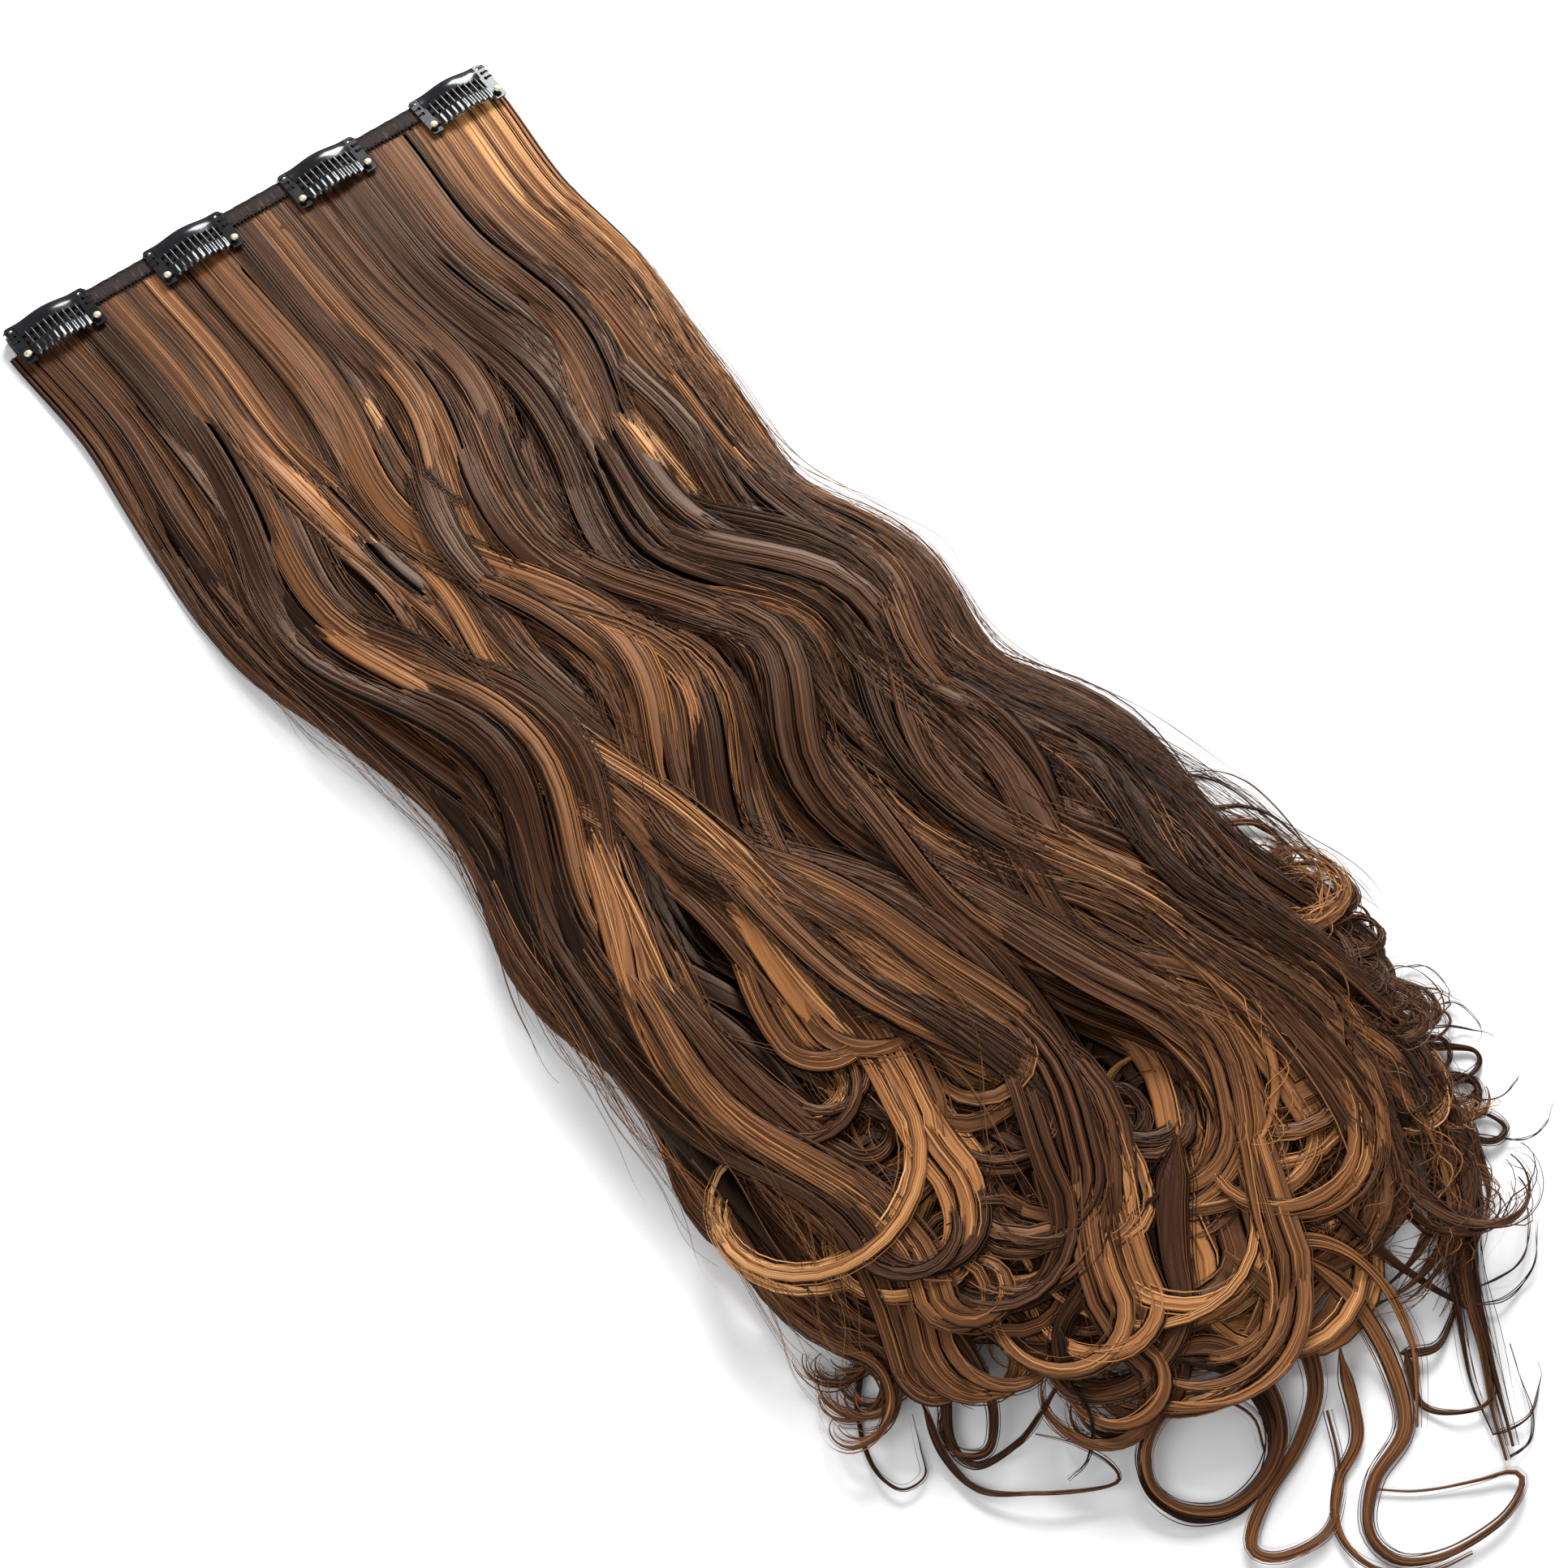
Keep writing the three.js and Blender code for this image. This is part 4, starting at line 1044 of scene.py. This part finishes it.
def bow(x):
    """How far a clip stands up at x, most at its middle."""
    return BOW_RISE * np.maximum(1 - (np.abs(x) / BOW_HALF) ** 2, 0) ** 2


def placed(shape, number):
    """A clip's shape, moved to the clip's place on the band."""
    vertices, faces = shape
    return vertices + np.array([CLIP_CENTRES[number - 1], HINGE_Y, CLIP_BASE]), faces


def round_outline(corners, steps=6):
    """A closed outline from corners (x, y, radius), taken counter-clockwise."""
    points = []
    spots = np.array([corner[:2] for corner in corners], dtype=float)
    for index, (_, _, radius) in enumerate(corners):
        here = spots[index]
        back, ahead = unit(spots[index - 1] - here), unit(spots[(index + 1) % len(spots)] - here)
        for t in np.linspace(0, 1, steps + 1):
            points.append(here + radius * (back * (1 - t) ** 2 + ahead * t**2))
    return np.array(points)


def drawn_in(outline, distance):
    """The outline moved to its left by a distance: inward when it runs counter-clockwise."""
    travel = unit(np.roll(outline, -1, 0) - np.roll(outline, 1, 0))
    return outline + distance * np.stack([-travel[:, 1], travel[:, 0]], 1)


def sheet_plate(outline, holes):
    """A flat plate with round holes and small rounds along every edge."""
    sheet = bmesh.new()
    lids = {0: [], PLATE: []}
    for loop in [outline] + holes:
        rings = []
        for inset, z in ((EDGE_ROUND, 0), (0, EDGE_ROUND), (0, PLATE - EDGE_ROUND), (EDGE_ROUND, PLATE)):
            rings.append([sheet.verts.new((*spot, z)) for spot in drawn_in(loop, inset)])
        for lower, upper in zip(rings, rings[1:]):
            for i in range(len(loop)):
                j = (i + 1) % len(loop)
                sheet.faces.new((lower[i], lower[j], upper[j], upper[i]))
        for z, ring in ((0, rings[0]), (PLATE, rings[-1])):
            lids[z] += [sheet.edges.get((ring[i], ring[i - 1])) for i in range(len(ring))]
    for edges in lids.values():
        bmesh.ops.triangle_fill(sheet, edges=edges, use_beauty=True, use_dissolve=False)
    bmesh.ops.recalc_face_normals(sheet, faces=sheet.faces)
    sheet.verts.index_update()
    vertices = np.array([v.co[:] for v in sheet.verts])
    faces = [[v.index for v in face.verts] for face in sheet.faces]
    sheet.free()
    return vertices, faces


def circle(x, y, radius, steps=20):
    """A hole's outline, which runs clockwise."""
    angle = -np.linspace(0, 2 * math.pi, steps, endpoint=False)
    return np.stack([x + radius * np.cos(angle), y + radius * np.sin(angle)], 1)


def frame_bar():
    """The bowed bar, a loft along the clip whose upper side swells across its width."""
    section = rounded_box(BAR_LOW, BAR_HIGH, 0.0, PLATE, 0.28)
    along = np.linspace(BAR_LOW + 0.3, BAR_HIGH - 0.3, 9)
    top = np.column_stack([along[::-1], np.full(9, PLATE)])
    under = np.column_stack([along, np.zeros(9)])
    section = np.concatenate([section[:5], top[1:-1], section[5:15], under[1:-1], section[15:]])
    share = np.clip((section[:, 0] - BAR_LOW) / (BAR_HIGH - BAR_LOW), 0, 1)
    section[:, 1] += 0.5 * np.sin(math.pi * share) ** 1.2 * np.where(section[:, 1] > 0.3, 1, 0.7)
    rings = []
    for x in np.linspace(-BAR_REACH, BAR_REACH, 45):
        rings.append(np.column_stack([np.full(len(section), x), section[:, 0], section[:, 1] + bow(x)]))
    return loft(np.array(rings))


def end_plate(side):
    """The right end plate, or for a side below zero its mirror image."""
    outline = round_outline([(SLOT_HALF, FOOT, 0.6), (CLIP_HALF, FOOT, 1.9), (CLIP_HALF, BAR_HIGH, 1.9),
                             (SLOT_HALF, BAR_HIGH, 0.3)])
    holes = [circle(RIVET_X, y, 0.65) for y in SEWING_Y]
    vertices, faces = sheet_plate(outline, holes)
    if side < 0:
        vertices, faces = vertices * np.array([-1, 1, 1]), [face[::-1] for face in faces]
    return vertices, faces


for number in CLIP_NUMBERS:
    frame_shape = joined([frame_bar(), end_plate(-1), end_plate(1)])
    solid_piece(f"frame_{number}", placed(frame_shape, number), enamel_material,
                nodes=[f"clip_{number}_frame"])

# %% [markdown]
# The comb is the part that bites. A ribbed strip with a lobe below each tooth turns on two narrow
# tongues at its ends, and its nine teeth cross the slot and rest on the bar. A number called
# wear marks its ribs and lobes, where the paint rubs off and where a glint is painted in
# as pale steel.

# %% Combs
TOOTH_PITCH = 2.45
TEETH = 9
COMB_HALF = 11.2
STRIP_LOW, STRIP_HIGH = 1.0, 1.5


def ridge(x):
    """1 on the middle line of a tooth, 0 halfway to the next."""
    return np.cos(math.pi * x / TOOTH_PITCH) ** 2 * (np.abs(x) < TOOTH_PITCH * TEETH / 2)


def comb_strip():
    """The strip's rings, one at each place along it: up its top side, and back along its underside."""
    rings = []
    for x in np.linspace(-COMB_HALF, COMB_HALF, 121):
        foot = -1.5 - 0.9 * ridge(x) ** 0.7
        y = foot + (3.6 - foot) * np.array([0.0, 0.03, 0.1, 0.22, 0.4, 0.6, 0.8, 0.94, 1.0])
        rise = 0.3 * ridge(x) * np.sin(math.pi * np.clip((y - foot) / (4.4 - foot), 0, 1)) ** 0.5
        shoulder = np.array([0.24, 0.06, 0, 0, 0, 0, 0, 0.04, 0.2])
        top = np.column_stack([np.full(9, x), y, STRIP_HIGH - shoulder + rise])
        under = np.column_stack([np.full(9, x), y, STRIP_LOW + 0.5 * rise])[::-1]
        ring = np.concatenate([top, under])
        ring[:, 2] += bow(x)
        rings.append(ring)
    return loft(np.array(rings)[::-1])


def tooth(x):
    """One tapering tooth, from inside the strip to just over the bar."""
    rings = []
    for y in np.append(np.linspace(3.0, 9.0, 9), [9.2, 9.3]):
        share = (y - 3.0) / 6.3
        half = (1.3 - 0.6 * share) / 2 * (1 if y < 9.1 else 0.75 if y < 9.25 else 0.35)
        angle = np.linspace(0, 2 * math.pi, 10, endpoint=False)
        thick = 0.25 + 0.1 * (1 - share)
        rings.append(np.column_stack([x + half * np.cos(angle), np.full(10, y),
                                      1.25 + 0.1 * (1 - share) + bow(x) + thick * np.sin(angle)]))
    return loft(np.array(rings))


def tongue(side):
    """The comb's narrow end, which lies under a rivet's head."""
    section = rounded_box(-0.55, 0.55, 1.02, 1.48, 0.16)
    rings = [np.column_stack([np.full(len(section), x), section[:, 0] * narrow, section[:, 1]])
             for x, narrow in ((10.6, 1.0), (12.5, 1.0), (12.8, 0.8), (12.95, 0.5))]
    rings = np.array(rings)
    rings[..., 0] *= side
    return loft(rings if side > 0 else rings[:, ::-1])


for number in CLIP_NUMBERS:
    teeth = [tooth(TOOTH_PITCH * step) for step in range(-(TEETH // 2), TEETH // 2 + 1)]
    comb_shape = joined([comb_strip(), tongue(-1), tongue(1)] + teeth)
    comb = solid_piece(f"comb_{number}", placed(comb_shape, number), enamel_material,
                       f"comb_{number}", [f"clip_{number}_comb"])
    local = comb_shape[0]
    # Painted glint and rub: pale steel along the crests of the ribs and on the lobes.
    ends = 0.45 + 0.5 * smooth(0.6, -2.4, local[:, 1]) + 0.25 * smooth(3, 8, local[:, 1])
    rubbed_and_glint = ridge(local[:, 0]) ** 2 * ends
    comb.data.attributes.new("wear", "FLOAT", "POINT").data.foreach_set("value", rubbed_and_glint.astype(np.float32))

# %% [markdown]
# A rivet is turned, so it is a profile swept round its axis: a flange below the plate, a shank, and
# the pale domed head that shows. Two black threads go through each sewing hole and over the plate's
# outer edge into the tape.

# %% Rivets and sewing threads
RIVET_PROFILE = [(0.0, -0.7), (1.0, -0.7), (1.12, -0.62), (1.12, -0.36), (1.05, -0.3), (0.5, -0.3),
                 (0.5, 1.9), (1.3, 1.9), (1.4, 1.97), (1.4, 2.08), (1.33, 2.24), (1.18, 2.42),
                 (0.95, 2.56), (0.65, 2.65), (0.35, 2.69), (0.0, 2.7)]
RIVET_SIDES = 28
THREAD_PATH = [(13.8, 0, -0.1), (13.95, 0, 0.7), (14.9, 1, 0.78), (16.0, 1, 0.72), (16.35, 1, 0.2),
               (16.5, 1, -0.35)]


def rivet(x):
    """A rivet that stands upright at x on the hinge line."""
    angle = np.linspace(0, 2 * math.pi, RIVET_SIDES, endpoint=False)
    rings = []
    for radius, z in RIVET_PROFILE:
        radius = max(radius, 0.01)
        rings.append(np.column_stack([x + radius * np.cos(angle), radius * np.sin(angle),
                                      np.full(RIVET_SIDES, z)]))
    return loft(np.array(rings))


for number in CLIP_NUMBERS:
    for side, word in ((-1, "left"), (1, "right")):
        solid_piece(f"rivet_{number}_{word}", placed(rivet(side * RIVET_X), number), brass_material,
                    nodes=[f"clip_{number}_rivet_{word}"])
    threads = []
    for side in (-1, 1):
        for y in SEWING_Y:
            for shift in (-0.2, 0.2):
                lean = rng.uniform(-0.25, 0.25)
                path = [(side * x, y + shift + leans * lean, z) for x, leans, z in THREAD_PATH]
                threads.append(stitch(path, FINE_THREAD, rows=12))
    solid_piece(f"clip_threads_{number}", placed(joined(threads), number), thread_material)

# %% [markdown]
# Some hairs never stay in their lock. They leave it part of the way down, swing out past the edge in
# a wide arc or lie across their neighbours, and end in a loose hook. They go alone or by twos and
# threes, more of them at the hair's edges, where the white table shows them up.

# %% Flyaway hairs
FLYAWAY_POINTS = 34
FLYAWAYS = 630
FLYAWAY_BREADTH = 0.2 * MM
EDGE_LOCKS = ("left_edge", "right_edge", "right_curl", "right_face", "right_tail")
AT_THE_EDGE, TURNED_BACK = 0.5, 0.35


def flyaway(lock, rng):
    """The line of one to three thin hairs that leave a lock and swing outward."""
    start = rng.uniform(0.12, 0.85) * lock["reach"]
    length = rng.uniform(0.12, 0.28)
    share = np.linspace(start, min(start + length, lock["reach"]), FLYAWAY_POINTS)
    line, width, thickness = lock_run(lock, share)
    t = np.linspace(0, 1, FLYAWAY_POINTS)
    outward = 1 if lock["seam"] > 0.5 else -1
    if rng.random() < TURNED_BACK:
        outward = -outward
    free = smooth(0.25, 0.7, start)
    aside = width / 2 * rng.uniform(0.4, 1)
    swing = outward * (aside + rng.uniform(2, 4 + 14 * free) * MM * smooth(0, 0.8, t))
    swing = swing + rng.uniform(1, 3 + 6 * free) * MM * turns(rng, rng.uniform(0.7, 2.2), t) * t
    hook = rng.uniform(-1, 1) * 16 * MM * free * smooth(0.6, 1, t) ** 2
    line[:, 0] += swing + hook
    line[:, 1] += abs(hook) * rng.uniform(0.3, 1.4)
    rise = thickness * rng.uniform(0.1, 0.6)
    line[:, 2] += rise - (line[:, 2] - 3 * MM) * smooth(0.2, 1, t) * rng.random()
    line[:, 2] = np.maximum(line[:, 2], LOWEST)
    loose = np.full(FLYAWAY_POINTS, 0.8 * MM)
    return {"line": line, "half": loose * (0.3 + 1.5 * t), "deep": loose, "roll": np.zeros(FLYAWAY_POINTS),
            "share": share, "loose": 1.0 * MM, "frizz": 0.6 * MM, "curled": smooth(0.6, 1, t),
            "progress": t * 0.2 + 0.8}


upper_locks = [lock for lock in LOCKS if not lock["name"].startswith("under")]
edge_locks = [lock for lock in LOCKS if lock["name"] in EDGE_LOCKS]
flyaways = []
for _ in range(FLYAWAYS):
    lock = rng.choice(upper_locks)
    if rng.random() < AT_THE_EDGE:
        lock = rng.choice(edge_locks)
    wisp = flyaway(lock, rng)
    tones = np.interp(wisp["share"], TONE_AT, lock["tones"]) + rng.uniform(-0.05, 0.15)
    flyaways.append(strands_of(wisp, int(rng.integers(1, 4)), FLYAWAY_BREADTH, rng, tones))
hair_piece("hair_flyaways", flyaways)

# %% [markdown]
# The table is one plain pale sheet, so wide that no edge of it shows. A soft box high up at the back
# right is the key light: it makes the long highlights and the soft shadow on the near side. A weak
# one at the front left opens the shadows, and the pale world does what white studio walls do.

# %% Stage and lights
TABLE_HALF = 30

floor_mesh = bpy.data.meshes.new("table")
corners = [(x * TABLE_HALF, y * TABLE_HALF, 0) for x, y in ((-1, -1), (1, -1), (1, 1), (-1, 1))]
floor_mesh.from_pydata(corners, [], [(0, 1, 2, 3)])
table = bpy.data.objects.new("table", floor_mesh)
bpy.context.collection.objects.link(table)
table_material, _, _ = new_finish("table", Base_Color=(0.92, 0.92, 0.93, 1), Roughness=0.7)
floor_mesh.materials.append(table_material)


def lamp(name, place, target, width, height, power):
    """A softbox at a place, turned to a target."""
    light = bpy.data.lights.new(name, "AREA")
    light.shape = "RECTANGLE"
    light.energy = power
    light.size = width
    light.size_y = height
    box = bpy.data.objects.new(name, light)
    box.location = place
    aim = Vector(target) - Vector(place)
    box.rotation_mode = "QUATERNION"
    box.rotation_quaternion = aim.to_track_quat("-Z", "Y")
    bpy.context.collection.objects.link(box)


lamp("key", (1.035, 0.78, 1.08), (0.035, -0.2, 0), 0.9, 0.62, 50)
lamp("fill", (-1.1, -0.6, 1.3), (0.02, -0.3, 0), 1.0, 1.0, 11)

world = bpy.data.worlds.new("studio")
world.use_nodes = True
world.node_tree.nodes["Background"].inputs["Color"].default_value = (1, 1, 1, 1)
world.node_tree.nodes["Background"].inputs["Strength"].default_value = 0.42
bpy.context.scene.world = world
bpy.context.scene.view_settings.view_transform = "Standard"
print("table, two soft boxes and a pale world")
